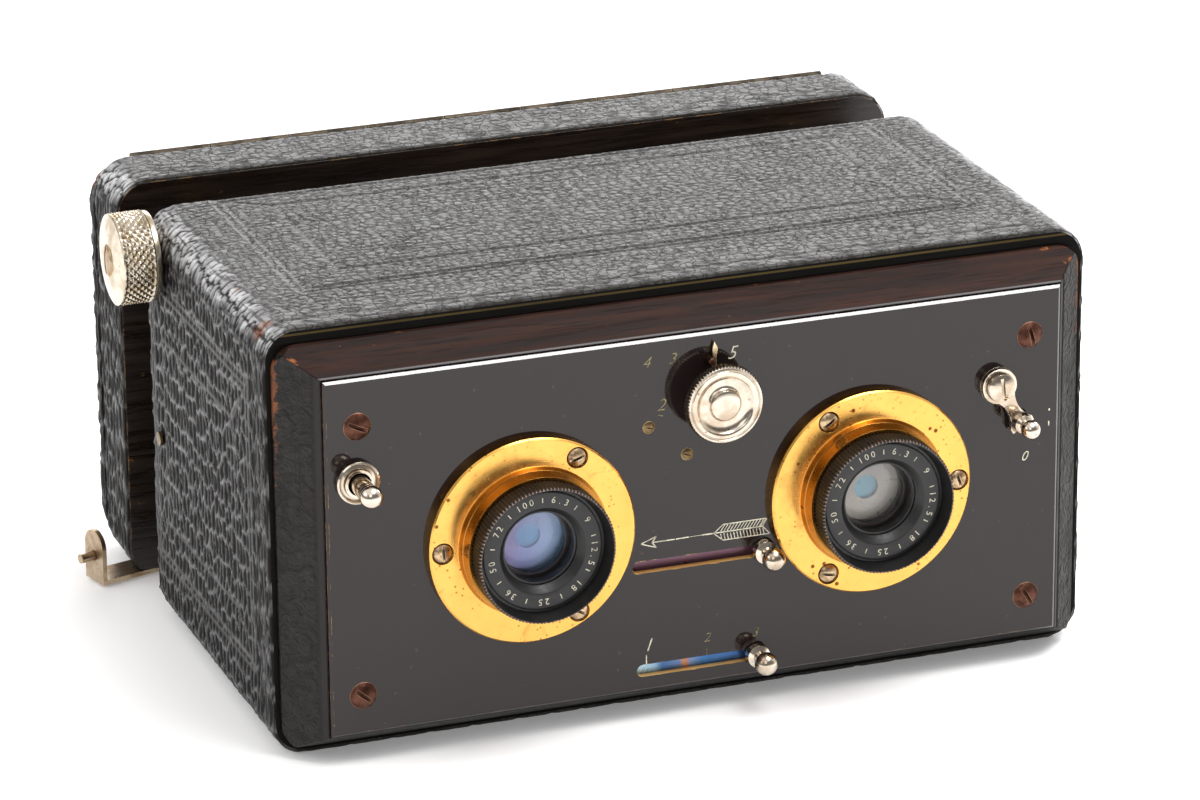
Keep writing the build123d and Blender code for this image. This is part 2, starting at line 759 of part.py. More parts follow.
def make_sleeve():
    half = sleeve_half()
    low, high = sleeve_heights()
    sleeve = block((-half, half), (SLEEVE_FRONT, SLEEVE_REAR), (low, high))
    inner_z = (low + SLEEVE_WALL, high - SLEEVE_WALL)
    inner = half - SLEEVE_WALL
    sleeve -= block((-inner, inner), (SLEEVE_FRONT - 1, SLEEVE_REAR + 1), inner_z)
    for side in (-1, 1):
        groove_x = around(side * PINION_X, PINION_WIDTH / 2)
        sleeve -= block(groove_x, rack_limits(), (rack_floor(), high + 1))
    return sleeve


def make_septum_rear():
    low, high = sleeve_heights()
    return block((-1.2, -0.2), (SLEEVE_FRONT, 57.5), (low + SLEEVE_WALL, high - SLEEVE_WALL))


def make_back_frame():
    depth = (BACK_FRONT, BACK_REAR)
    half = BACK_HALF - LEATHER
    heights = (LEATHER, BACK_TOP - LEATHER)
    frame = rounded_prism(half, heights, BACK_CORNER - LEATHER, depth, BACK_X)
    seat_half = sleeve_half()
    frame -= block((-seat_half, seat_half), (BACK_FRONT - 1, SLEEVE_REAR), sleeve_heights())
    chamber = (-CHAMBER_HALF, CHAMBER_HALF)
    frame -= block(chamber, (SLEEVE_REAR - 0.5, BACK_REAR + 1), CHAMBER_Z)
    frame -= latch_relief()
    return frame - rod_z(*LATCH_PIVOT, 1.2, (0, 6.0))


def latch_relief():
    """The shallow recess under the back in which the latch turns."""
    return block((-80, -54), (BACK_FRONT - 0.5, BACK_REAR + 0.5), (-1, LATCH_RELIEF_TOP))


def make_back_leather():
    """The leather of the back frame, in four panels."""
    depth = (BACK_FRONT, BACK_REAR)
    skin = rounded_prism(BACK_HALF, (0, BACK_TOP), BACK_CORNER, depth, BACK_X)
    inner_z = (LEATHER, BACK_TOP - LEATHER)
    inner_depth = (BACK_FRONT - 1, BACK_REAR + 1)
    skin -= rounded_prism(BACK_HALF - LEATHER, inner_z, BACK_CORNER - LEATHER, inner_depth, BACK_X)
    skin -= latch_relief()
    sides = panel_prisms(BACK_HALF, BACK_TOP, depth, BACK_X)
    return Compound(children=[skin & side for side in sides])


def make_plate_sheath():
    """The metal tray that holds the glass plate against the end of the sleeve."""
    half = CHAMBER_HALF - 0.2
    z = (CHAMBER_Z[0] + 0.2, CHAMBER_Z[1] - 0.2)
    tray = block((-half, half), (SLEEVE_REAR, SLEEVE_REAR + 2.6), z)
    bed = block(around(0, half - 0.5), (SLEEVE_REAR + 0.3, SLEEVE_REAR + 2.2), around(38.6, 30.6))
    window = block(around(0, half - 2.0), (SLEEVE_REAR - 1, SLEEVE_REAR + 0.4), around(38.6, 28.6))
    return tray - bed - window


def make_glass_plate():
    depth = (SLEEVE_REAR + 0.4, SLEEVE_REAR + 1.9)
    return block(around(0, 65.0), depth, around(38.6, 30.0))


# Door, hinge and latch -------------------------------------------------------------


def knuckle_spans():
    """Start and end of each hinge knuckle along X, from left to right."""
    length = 2 * HINGE_HALF / KNUCKLES
    gap = 0.12
    starts = [-HINGE_HALF + number * length for number in range(KNUCKLES)]
    return [(start + gap, start + length - gap) for start in starts]


def make_hinge_leaf(sheet_y, mine, bore):
    """One leaf of the long hinge; mine is 0 or 1, the first knuckle it owns."""
    foot = 73.5
    clear = HINGE_Z - KNUCKLE_R - 0.12
    leaf = block((-HINGE_HALF, HINGE_HALF), sheet_y, (foot, clear))
    for span in knuckle_spans()[mine::2]:
        leaf += block(span, sheet_y, (clear - 1, HINGE_Z))
        leaf += rod_x(HINGE_Y, HINGE_Z, KNUCKLE_R, span)
    leaf -= rod_x(HINGE_Y, HINGE_Z, bore, (-HINGE_HALF - 1, HINGE_HALF + 1))
    return Pos(BACK_X, 0, 0) * leaf


def make_hinge_pin():
    return rod_x(HINGE_Y, HINGE_Z, HINGE_PIN_R, (BACK_X - HINGE_HALF, BACK_X + HINGE_HALF))


def make_door_panel():
    z = (DOOR_Z[0] + LEATHER, DOOR_Z[1] - LEATHER)
    depth = (DOOR_FRONT, DOOR_REAR - LEATHER)
    return rounded_prism(BACK_HALF - LEATHER, z, BACK_CORNER - LEATHER, depth, BACK_X)


def make_door_leather():
    skin = rounded_prism(BACK_HALF, DOOR_Z, BACK_CORNER, (DOOR_FRONT, DOOR_REAR), BACK_X)
    z = (DOOR_Z[0] + LEATHER, DOOR_Z[1] - LEATHER)
    depth = (DOOR_FRONT - 1, DOOR_REAR - LEATHER)
    return skin - rounded_prism(BACK_HALF - LEATHER, z, BACK_CORNER - LEATHER, depth, BACK_X)


def make_pressure_springs():
    """Two bowed leaf springs on the door that press the sheath forward."""
    springs = []
    for x in (-32.0, 32.0):
        tip, low, high = SLEEVE_REAR + 2.7, 20.0, 57.0
        bow = ThreePointArc((x, DOOR_FRONT, low), (x, tip + 0.2, 38.5), (x, DOOR_FRONT, high))
        back = ThreePointArc((x, DOOR_FRONT, high - 1.5), (x, tip + 0.6, 38.5), (x, DOOR_FRONT, low + 1.5))
        closed = bow + Line(bow @ 1, back @ 0) + back + Line(back @ 1, bow @ 0)
        springs.append(Pos(-5, 0, 0) * extrude(make_face(closed), amount=10, dir=(1, 0, 0)))
    return Compound(children=springs)


def make_latch():
    """The bent strap: a flat arm under the back and an upright beside it."""
    strap = rod_z(0, 0, LATCH_HALF_WIDTH + 0.3, LATCH_Z)
    across = around(0, LATCH_HALF_WIDTH)
    strap += block((-LATCH_REACH - 0.9, 0), across, LATCH_Z)
    upright_x = (-LATCH_REACH - 0.9, -LATCH_REACH)
    strap += block(upright_x, across, (LATCH_Z[0], 7.5))
    strap += rod_x(0, 7.5, LATCH_HALF_WIDTH, upright_x)
    strap += rod_x(0, 5.6, 0.9, (-LATCH_REACH - 3.9, -LATCH_REACH))
    strap -= rod_z(0, 0, 1.25, (-1, 3))
    return Pos(*LATCH_PIVOT, 0) * Rot(0, 0, LATCH_REST_DEG) * strap


def make_latch_screw():
    head = rod_z(*LATCH_PIVOT, 2.4, (0.05, 0.4))
    return head + rod_z(*LATCH_PIVOT, 1.2, (0.4, 6.0))


def build():
    """Every node's solid, by name."""
    surround = make_surround()
    nodes = {
        "carcass": make_carcass(),
        "body_leather": make_body_leather(),
        "front_board": make_front_board(),
        "top_moulding": surround["top"],
        "bottom_moulding": surround["bottom"],
        "left_moulding": surround["left"],
        "right_moulding": surround["right"],
        "front_septum": make_septum_front(),
        "tripod_bush": make_tripod_bush(),
        "side_nail": make_side_nail(),
        "front_plate": make_front_plate(),
        "plate_screws": make_plate_screws(),
        "flange_screws": make_flange_screws(),
        "mechanism_screws": make_mechanism_screws(),
        "stop_pin": make_stop_pin(),
        "retaining_rings": make_retaining_rings(),
        "blade_guides": make_blade_guides(),
        "shutter_blade": make_shutter_blade(),
        "shutter_stud": make_stud(SHUTTER_STUD, -42.65),
        "diaphragm_plate": make_stop_plate(),
        "diaphragm_stud": make_stud(STOP_STUD, -43.35),
        "speed_knob": make_speed_knob(),
        "speed_pointer": make_speed_pointer(),
        "tension_cam": make_tension_cam(),
        "release_bush": make_release_bush(),
        "release_button": make_release_button(),
        "release_spring": make_release_spring(),
        "mode_lever_seat": make_mode_seat(),
        "mode_lever": make_mode_lever(),
        "mode_lever_screw": make_mode_screw(),
        "focus_knob": make_focus_knob(),
        "focus_knob_screw": make_focus_knob_screw(),
        "focus_shaft": make_focus_shaft(),
        "focus_pinions": make_pinions(),
        "focus_racks": make_racks(),
        "shaft_bushes": make_shaft_bushes(),
        "inner_sleeve": make_sleeve(),
        "rear_septum": make_septum_rear(),
        "back_frame": make_back_frame(),
        "back_leather": make_back_leather(),
        "plate_sheath": make_plate_sheath(),
        "glass_plate": make_glass_plate(),
        "hinge_fixed_leaf": make_hinge_leaf((BACK_REAR, BACK_REAR + 0.4), 0, HINGE_PIN_R),
        "hinge_door_leaf": make_hinge_leaf((DOOR_FRONT - 0.4, DOOR_FRONT), 1, HINGE_PIN_R + 0.05),
        "hinge_pin": make_hinge_pin(),
        "rear_door": make_door_panel(),
        "door_leather": make_door_leather(),
        "pressure_springs": make_pressure_springs(),
        "back_latch": make_latch(),
        "latch_screw": make_latch_screw(),
    }
    for side, x in lens_sides():
        nodes[f"lens_flange_{side}"] = make_lens_flange(x)
        nodes[f"lens_mount_{side}"] = make_lens_mount(x)
        nodes[f"front_glass_{side}"] = make_front_glass(x)
        nodes[f"rear_cell_{side}"] = make_rear_cell(x)
        nodes[f"rear_glass_{side}"] = make_rear_glass(x)
    return nodes


def main():
    os.makedirs("parts", exist_ok=True)
    for name, solid in build().items():
        export_step(solid, f"parts/{name}.step")


main()
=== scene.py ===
import math

import bmesh
import bpy
import numpy as np
from mathutils import Matrix, Vector


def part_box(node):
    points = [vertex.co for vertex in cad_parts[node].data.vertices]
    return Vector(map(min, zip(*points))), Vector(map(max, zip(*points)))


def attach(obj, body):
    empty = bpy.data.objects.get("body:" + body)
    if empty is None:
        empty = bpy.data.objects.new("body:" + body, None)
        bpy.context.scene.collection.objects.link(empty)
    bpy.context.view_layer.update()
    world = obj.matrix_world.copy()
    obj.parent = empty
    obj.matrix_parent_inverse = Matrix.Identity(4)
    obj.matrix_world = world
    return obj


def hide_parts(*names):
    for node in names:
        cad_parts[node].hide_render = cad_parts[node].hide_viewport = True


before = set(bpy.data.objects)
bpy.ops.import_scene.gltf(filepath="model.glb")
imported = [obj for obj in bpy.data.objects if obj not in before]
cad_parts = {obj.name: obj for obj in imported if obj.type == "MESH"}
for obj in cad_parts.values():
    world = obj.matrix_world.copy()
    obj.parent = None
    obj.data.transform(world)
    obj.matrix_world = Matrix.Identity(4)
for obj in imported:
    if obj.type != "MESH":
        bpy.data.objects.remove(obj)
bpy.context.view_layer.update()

# Lengths below are in millimetres unless they say otherwise.
MM = 0.001
# The specular level that a varied one falls back on.
PLAIN_SHINE = 0.4
GLASS_IOR = 1.5


def middle(node):
    """The middle of a CAD node's box, in millimetres."""
    low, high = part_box(node)
    return (low + high) / 2 / MM


def limits(node):
    low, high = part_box(node)
    return low / MM, high / MM


LENSES = {side: middle("lens_flange_" + side) for side in ("left", "right")}
LENS_Z = LENSES["left"].z
PLATE_FRONT = limits("front_plate")[0].y
FLANGE_FACE = PLATE_FRONT - 2.0
SPEED_AXIS = middle("tension_cam")


# Shader graphs -----------------------------------------------------------------------


class Shader:
    """A material and short calls that add nodes to it."""

    def __init__(self, name):
        self.material = bpy.data.materials.new(name)
        self.material.use_nodes = True
        self.tree = self.material.node_tree
        self.tree.nodes.clear()
        self.place = self.node("ShaderNodeTexCoord").outputs["Object"]

    def node(self, kind, inputs=None, **settings):
        made = self.tree.nodes.new("ShaderNode" + kind if not kind.startswith("Shader") else kind)
        for key, value in settings.items():
            setattr(made, key, value)
        for key, value in (inputs or {}).items():
            self.feed(made.inputs[key], value)
        return made

    def feed(self, socket, value):
        if isinstance(value, bpy.types.NodeSocket):
            self.tree.links.new(value, socket)
        elif socket.type == "RGBA" and len(value) == 3:
            socket.default_value = (*value, 1.0)
        else:
            socket.default_value = value

    def math(self, operation, first, second=0.0):
        return self.node("Math", {0: first, 1: second}, operation=operation).outputs[0]

    def add(self, first, second):
        return self.math("ADD", first, second)

    def less(self, first, second):
        return self.math("SUBTRACT", first, second)

    def times(self, first, second):
        return self.math("MULTIPLY", first, second)

    def most(self, first, second):
        return self.math("MAXIMUM", first, second)

    def ramp(self, value, low, high, out_low=0.0, out_high=1.0):
        """A smooth step of value from low to high."""
        inputs = {"Value": value, "From Min": low, "From Max": high, "To Min": out_low, "To Max": out_high}
        return self.node("MapRange", inputs, interpolation_type="SMOOTHSTEP").outputs[0]

    def mix(self, factor, first, second):
        node = self.node("Mix", data_type="RGBA")
        self.feed(node.inputs[0], factor)
        self.feed(node.inputs[6], first)
        self.feed(node.inputs[7], second)
        return node.outputs[2]

    def stretched(self, scale, place=None):
        """The place scaled by a different amount on each axis."""
        inputs = {0: place or self.place, 1: scale}
        return self.node("VectorMath", inputs, operation="MULTIPLY").outputs[0]

    def warped(self, scale, amount_mm, place=None):
        """The place pushed about by noise."""
        push = self.node("TexNoise", {"Vector": place or self.place, "Scale": scale}).outputs["Color"]
        push = self.node("VectorMath", {0: push, 1: (0.5, 0.5, 0.5)}, operation="SUBTRACT").outputs[0]
        push = self.node("VectorMath", {0: push, "Scale": amount_mm * MM}, operation="SCALE").outputs[0]
        return self.node("VectorMath", {0: place or self.place, 1: push}, operation="ADD").outputs[0]

    def noise(self, scale, detail=3.0, rough=0.55, place=None, distortion=0.0):
        inputs = {"Vector": place or self.place, "Scale": scale, "Detail": detail}
        inputs.update({"Roughness": rough, "Distortion": distortion})
        return self.node("TexNoise", inputs).outputs[0]

    def cells(self, scale, feature="F1", place=None):
        inputs = {"Vector": place or self.place, "Scale": scale}
        return self.node("TexVoronoi", inputs, feature=feature).outputs[0]

    def attribute(self, name):
        return self.node("Attribute", attribute_name=name).outputs["Fac"]

    def bump(self, height, depth_mm, strength=1.0, normal=None):
        inputs = {"Height": height, "Distance": depth_mm * MM, "Strength": strength}
        if normal is not None:
            inputs["Normal"] = normal
        return self.node("Bump", inputs).outputs[0]

    def axis(self, letter):
        return self.node("SeparateXYZ", {0: self.place}).outputs["XYZ".index(letter)]

    def sideways(self, low_mm, high_mm, out_low=0.0, out_high=1.0):
        """A smooth step with the distance to either side of the middle."""
        away = self.math("ABSOLUTE", self.axis("X"))
        return self.ramp(away, low_mm * MM, high_mm * MM, out_low, out_high)

    def along(self, letter, low_mm, high_mm, out_low=0.0, out_high=1.0):
        """A smooth step along one axis."""
        return self.ramp(self.axis(letter), low_mm * MM, high_mm * MM, out_low, out_high)

    def facing(self, letter):
        """How far the surface faces along one axis, from -1 to 1."""
        normal = self.node("TexCoord").outputs["Normal"]
        return self.node("SeparateXYZ", {0: normal}).outputs["XYZ".index(letter)]

    def radius(self, centre):
        """Distance from a fore and aft axis through centre, in metres."""
        parts = []
        for letter, at in (("X", centre.x), ("Z", centre.z)):
            offset = self.less(self.axis(letter), at * MM)
            parts.append(self.times(offset, offset))
        return self.math("SQRT", self.add(*parts))

    def edges(self, width_mm):
        """1 where a sharp edge is near, 0 on flat ground."""
        soft = self.node("Bevel", {"Radius": width_mm * MM}, samples=4).outputs[0]
        flat = self.node("NewGeometry").outputs["Normal"]
        dot = self.node("VectorMath", {0: soft, 1: flat}, operation="DOT_PRODUCT").outputs["Value"]
        return self.ramp(dot, 0.995, 0.86)

    def cavity(self, width_mm, low=0.35, high=0.85):
        """0 deep in a crevice, 1 in the open."""
        node = self.node("AmbientOcclusion", {"Distance": width_mm * MM}, samples=8)
        return self.ramp(node.outputs["AO"], low, high)

    def rounded(self, width_mm):
        return self.node("Bevel", {"Radius": width_mm * MM}, samples=4).outputs[0]

    def finish(self, **inputs):
        """Ends the graph with a Principled shader fed by these sockets."""
        shader = self.node("BsdfPrincipled")
        names = {"color": "Base Color", "rough": "Roughness", "metal": "Metallic", "normal": "Normal"}
        names.update({"specular": "Specular IOR Level", "ior": "IOR"})
        names.update({"glow": "Emission Color", "glow_strength": "Emission Strength"})
        if "specular" in inputs:
            shader.inputs[names["specular"]].default_value = PLAIN_SHINE
        for key, value in inputs.items():
            self.feed(shader.inputs[names[key]], value)
        self.close(shader.outputs[0])
        return self.material

    def close(self, surface):
        output = self.node("OutputMaterial")
        self.tree.links.new(surface, output.inputs["Surface"])
        return self.material


def leather_material(name, seed):
    """Black grained leather, scuffed to brown, with fine creases longer up the sides than over the top,
    painted shade in the creases and painted highlights on rubbed ridges.
    """
    s = Shader(name)
    shift = s.node("VectorMath", {0: s.place, 1: (seed * 0.37, 0.0, 0.0)}, operation="ADD").outputs[0]
    side = s.sideways(72.5, 75.5)
    tall = s.node("CombineXYZ", {0: 1.0, 1: 1.0, 2: s.less(1.0, s.times(side, 0.45))}).outputs[0]
    grain_place = s.stretched(tall, s.warped(420.0, 1.3, shift))
    borders = s.ramp(s.cells(560.0, "DISTANCE_TO_EDGE", grain_place), 0.11, 0.0)
    small_borders = s.ramp(s.cells(1200.0, "DISTANCE_TO_EDGE", grain_place), 0.15, 0.0)
    fine = s.noise(1500.0, 3.0, 0.6, shift)
    cloud = s.noise(60.0, 4.0, 0.6, shift)
    scratch = s.noise(900.0, 2.0, 0.5, s.stretched((1.0, 0.12, 1.0), shift))
    wear, rub, crease_shade, rim = (s.attribute(key) for key in ("wear", "rub", "crease_shade", "rim"))
    crease_shade = s.most(crease_shade, s.times(borders, s.less(0.6, s.times(side, 0.35))))
    flecks = s.noise(330.0, 4.0, 0.65, shift)
    black = s.mix(cloud, (0.008, 0.0068, 0.0062), (0.017, 0.0145, 0.0132))
    worn = s.ramp(s.add(s.times(wear, 0.9), s.times(s.less(flecks, 0.5), 1.5)), 0.52, 0.72)
    stray = s.times(s.ramp(flecks, 0.7, 0.76), 0.5)
    brown = s.mix(s.noise(700.0, 3.0, 0.6, shift), (0.075, 0.024, 0.010), (0.30, 0.095, 0.035))
    color = s.mix(s.most(worn, stray), black, brown)
    # Rubbed wear and painted highlight: the pleat ridges at the upper corners and the raised side ridges turn
    # pale grey.
    color = s.mix(s.times(rub, s.ramp(scratch, 0.28, 0.5)), color, (0.66, 0.66, 0.68))
    # Painted shade: the grain borders, creases and pleat valleys are darkened to near black.
    color = s.mix(s.times(crease_shade, 0.9), color, (0.003, 0.0025, 0.0025))
    color = s.mix(rim, color, s.mix(fine, (0.03, 0.022, 0.012), (0.012, 0.009, 0.006)))
    rough = s.add(s.ramp(fine, 0.3, 0.7, 0.36, 0.46), s.times(worn, 0.2))
    rough = s.less(s.add(rough, s.times(crease_shade, 0.4)), s.times(rub, 0.10))
    level = s.add(s.times(borders, -1.0), s.times(small_borders, -0.25))
    grain = s.bump(level, 0.08, 0.5, s.bump(fine, 0.012, 0.4))
    shine = s.less(s.add(0.62, s.times(rub, 0.4)), s.times(crease_shade, 0.55))
    return s.finish(color=color, rough=rough, normal=grain, specular=shine)


def smooth_leather_material():
    """The black covering of the mouldings: smooth, creased outside with painted shade in the creases, and
    scuffed to brown.
    """
    s = Shader("moulding_leather")
    creases = s.noise(420.0, 3.0, 0.6, s.stretched((0.35, 1.0, 1.0)), 1.5)
    cloud = s.noise(90.0, 4.0, 0.6)
    flecks = s.noise(520.0, 5.0, 0.7)
    outer = s.along("Y", -43.4, -42.6)
    corner = s.sideways(74.2, 76.0)
    high = s.along("Z", 40.0, 76.0, 0.25, 1.0)
    amount = s.add(s.times(s.times(corner, high), 0.48), s.times(s.less(flecks, 0.5), 1.2))
    worn = s.ramp(amount, 0.29, 0.44)
    black = s.mix(cloud, (0.008, 0.0062, 0.0056), (0.016, 0.0128, 0.0115))
    # Painted shade: the creases of the outer chamfer are darkened to near black.
    black = s.mix(s.times(outer, s.ramp(creases, 0.54, 0.40)), black, (0.003, 0.0025, 0.002))
    brown = s.mix(creases, (0.06, 0.022, 0.010), (0.28, 0.09, 0.03))
    color = s.mix(worn, black, brown)
    rough = s.add(s.ramp(cloud, 0.3, 0.7, 0.36, 0.5), s.times(worn, 0.15))
    grain = s.bump(s.times(creases, outer), 1.3, 0.9, s.rounded(0.35))
    grain = s.bump(s.noise(1800.0, 2.0), 0.03, 0.6, grain)
    shine = s.along("X", -60.0, 60.0, 0.3, 0.12)
    return s.finish(color=color, rough=rough, normal=grain, specular=shine)


def scaled(color, factor):
    return tuple(channel * factor for channel in color)


def wood_material(
    name, shades, stretch, rough_range, worn=None, edge=0.0, ends=0.0, shine=0.5, lip=None, stain=None
):
    """Long-grained wood between a dark and a light shade. stretch is small along the grain.

    worn shows through, more so by edge at the edges and by ends at both ends. lip is the height of an edge
    below which a pale grey line is painted as a highlight. stain is the depth in front of which the wood is
    painted black as painted shade of the gap below the leather, but for a line of dull gold just below the
    leather."""
    dark, light = shades
    s = Shader(name)
    place = s.stretched(stretch)
    grain = s.noise(700.0, 5.0, 0.65, place, 0.6)
    bands = s.noise(130.0, 3.0, 0.5, place, 1.0)
    pores = s.ramp(s.noise(1500.0, 2.0, 0.5, place), 0.54, 0.66)
    color = s.mix(s.ramp(grain, 0.3, 0.72), dark, light)
    color = s.mix(s.times(s.ramp(bands, 0.4, 0.65), 0.55), color, scaled(dark, 0.45))
    color = s.mix(s.times(pores, 0.5), color, scaled(dark, 0.3))
    rough = s.ramp(grain, 0.3, 0.7, *rough_range)
    if worn:
        flecks = s.noise(420.0, 5.0, 0.7, s.stretched((0.5, 1.0, 1.0)))
        amount = s.add(s.add(flecks, s.sideways(68.0, 76.0, 0.0, ends)), s.times(s.edges(0.5), edge))
        color = s.mix(s.times(s.ramp(amount, 0.66, 0.74), 0.8), color, worn)
    if lip:
        # Painted highlight: a pale grey line along the edge below the lip height.
        painted_lip_highlight = s.times(s.along("Z", lip + 0.32, lip + 0.18), s.ramp(grain, 0.3, 0.5, 0.4, 0.9))
        color = s.mix(painted_lip_highlight, color, (0.17, 0.165, 0.17))
    if stain:
        # Painted shade: in front of this depth the wood is near black with little shine, for the shade of the
        # gap below the leather; the dull gold line is the edge's own colour.
        front = s.along("Y", stain + 0.1, stain)
        color = s.mix(front, color, (0.003, 0.0025, 0.002))
        shine = s.ramp(front, 0.0, 1.0, shine, 0.08)
        line = s.times(s.along("Z", 78.2, 78.35), s.along("Z", 78.75, 78.6))
        line = s.times(s.times(front, line), s.ramp(bands, 0.3, 0.6, 0.5, 1.0))
        color = s.mix(line, color, (0.085, 0.06, 0.02))
    height = s.add(grain, s.times(pores, -0.8))
    normal = s.bump(height, 0.06, 0.6, s.rounded(0.3))
    return s.finish(color=color, rough=rough, normal=normal, specular=shine)


def enamel_material():
    """Gloss black enamel on sheet brass, which shows bare inside the slots and at chips, with a painted
    highlight along its top chamfer.
    """
    s = Shader("gloss_enamel")
    cloud = s.noise(30.0, 3.0)
    scratch = s.noise(700.0, 2.0, 0.5, s.stretched((1.0, 1.0, 0.06)))
    specks = s.ramp(s.cells(260.0), 0.09, 0.05)
    chipped = s.ramp(s.add(s.edges(0.25), s.times(s.noise(500.0, 4.0, 0.7), 1.3)), 1.66, 1.78)
    facing = s.facing("Y")
    inside = s.sideways(64.0, 63.0)
    not_rim = s.times(s.along("Z", 7.2, 7.4), s.along("Z", 70.9, 70.7))
    bare = s.times(s.times(s.ramp(facing, -0.9, -0.5), inside), not_rim)
    up = s.facing("Z")
    # Painted highlight: the upward-facing chamfer along the top edge is made pale and partly metallic.
    chamfer_up = s.times(s.ramp(up, 0.3, 0.6), s.ramp(up, 0.95, 0.85))
    painted_highlight = s.times(s.times(chamfer_up, s.along("Z", 71.2, 71.5)), 0.3)
    metal = s.most(s.most(chipped, painted_highlight), s.times(bare, 0.3))
    chipped = s.most(chipped, bare)
    color = s.mix(cloud, (0.0125, 0.0078, 0.0076), (0.0165, 0.0108, 0.0104))
    color = s.mix(s.times(specks, 0.25), color, (0.12, 0.09, 0.07))
    color = s.mix(chipped, color, s.mix(s.noise(400.0), (0.95, 0.62, 0.20), (0.60, 0.33, 0.10)))
    color = s.mix(painted_highlight, color, (0.85, 0.85, 0.86))
    rough = s.add(s.ramp(scratch, 0.58, 0.75, 0.05, 0.11), s.times(chipped, 0.25))
    ripple = s.bump(s.noise(45.0, 2.0), 0.02, 0.35)
    return s.finish(color=color, rough=rough, metal=metal, normal=ripple, ior=1.46)


def flange_material(side):
    """Lacquered brass turned round one lens, spotted with age, with painted shade on its boss."""
    s = Shader("turned_brass_" + side)
    ring = s.radius(LENSES[side])
    lines = s.noise(5200.0, 3.0, 0.7, s.node("CombineXYZ", {0: ring}).outputs[0])
    cloud = s.noise(160.0, 5.0, 0.65)
    spotted = s.times(s.ramp(s.cells(330.0), 0.17, 0.08), s.ramp(s.noise(140.0), 0.50, 0.62))
    dots = s.times(s.ramp(s.cells(900.0), 0.24, 0.12), s.ramp(s.noise(180.0), 0.42, 0.62, 0.1, 0.8))
    stain = s.ramp(s.noise(210.0, 5.0, 0.7, distortion=0.8), 0.60, 0.72)
    gold = s.mix(cloud, (0.88, 0.50, 0.13), (0.74, 0.38, 0.085))
    gold = s.mix(s.times(s.ramp(lines, 0.45, 0.7), 0.22), gold, (0.70, 0.36, 0.07))
    # Painted shade: the boss standing in front of the flange face is darkened.
    boss_shade = s.along("Y", FLANGE_FACE - 0.05, FLANGE_FACE - 0.4)
    gold = s.mix(s.times(boss_shade, 0.8), gold, (0.30, 0.12, 0.02))
    gold = s.mix(s.times(stain, 0.5), gold, (0.42, 0.20, 0.05))
    gold = s.mix(s.most(spotted, dots), gold, (0.20, 0.075, 0.018))
    rough = s.add(s.ramp(cloud, 0.35, 0.7, 0.17, 0.30), s.times(spotted, 0.3))
    grain = s.bump(lines, 0.012, 0.6, s.rounded(0.12))
    return s.finish(color=gold, rough=rough, metal=1.0, normal=grain)


def metal_material(name, shades, rough_range, spots=0.0, edge_color=None, scale=240.0, grime=0.8):
    """Plated or oxidised metal between a light and a dark shade, with grime and painted shade in its
    crevices.

    spots is the strength of its dark pits."""
    light, dark = shades
    s = Shader(name)
    cloud = s.noise(scale, 5.0, 0.65)
    fine = s.noise(2400.0, 2.0, 0.6)
    color = s.mix(s.ramp(cloud, 0.38, 0.68), light, dark)
    if spots:
        pits = s.times(s.ramp(s.cells(850.0), 0.22, 0.10), s.ramp(s.noise(300.0), 0.45, 0.6))
        color = s.mix(s.times(pits, spots), color, scaled(dark, 0.2))
    if edge_color:
        worn = s.ramp(s.add(s.edges(0.25), s.times(fine, 0.6)), 0.75, 1.1)
        color = s.mix(worn, color, edge_color)
    # Grime and painted shade: crevices found by ambient occlusion turn near black.
    grime_and_shade = s.times(s.less(1.0, s.cavity(0.6, 0.4, 0.92)), grime)
    color = s.mix(grime_and_shade, color, (0.012, 0.007, 0.004))
    rough = s.add(s.ramp(s.add(cloud, s.times(fine, 0.25)), 0.35, 0.85, *rough_range), s.times(grime_and_shade, 0.4))
    return s.finish(color=color, rough=rough, metal=1.0, normal=s.bump(fine, 0.01, 0.5, s.rounded(0.08)))


def paint_material(name, shades, rough_range, edge_color=None, edge_width=0.2, use_wear=False):
    """Black lacquer or matt paint, rubbed through on its edges, with painted shade in its crevices."""
    s = Shader(name)
    cloud = s.noise(300.0, 4.0, 0.6)
    fine = s.noise(1700.0, 3.0, 0.6)
    color = s.mix(cloud, *shades)
    rough = s.ramp(fine, 0.3, 0.7, *rough_range)
    if edge_color:
        near = s.attribute("wear") if use_wear else s.edges(edge_width)
        worn = s.ramp(s.add(near, s.times(fine, 0.7)), 1.05, 1.35)
        color = s.mix(worn, color, edge_color)
        rough = s.add(rough, s.times(worn, 0.1))
    # Painted shade: crevices found by ambient occlusion turn near black.
    color = s.mix(s.cavity(0.7), (0.002, 0.002, 0.002), color)
    return s.finish(color=color, rough=rough, normal=s.bump(fine, 0.02, 0.5), specular=0.5)


def blued_steel_material(name, axis, stops):
    """Heat-coloured steel: a run of colours along one axis, broken up by stains and scratches.

    stops are (place in mm, colour)."""
    s = Shader(name)
    scratch = s.noise(900.0, 4.0, 0.7, s.stretched((0.12, 1.0, 1.0)))
    stain = s.noise(260.0, 5.0, 0.7, distortion=1.0)
    place = s.add(s.axis(axis), s.times(s.less(stain, 0.5), 2.0 * MM))
    color = stops[0][1]
    for (start, _), (end, shade) in zip(stops, stops[1:]):
        color = s.mix(s.ramp(place, start * MM, end * MM), color, shade)
    color = s.mix(s.times(s.ramp(scratch, 0.60, 0.74), 0.4), color, (0.34, 0.17, 0.09))
    rough = s.ramp(stain, 0.3, 0.7, 0.26, 0.42)
    return s.finish(color=color, rough=rough, metal=0.55, normal=s.bump(scratch, 0.012, 0.5))


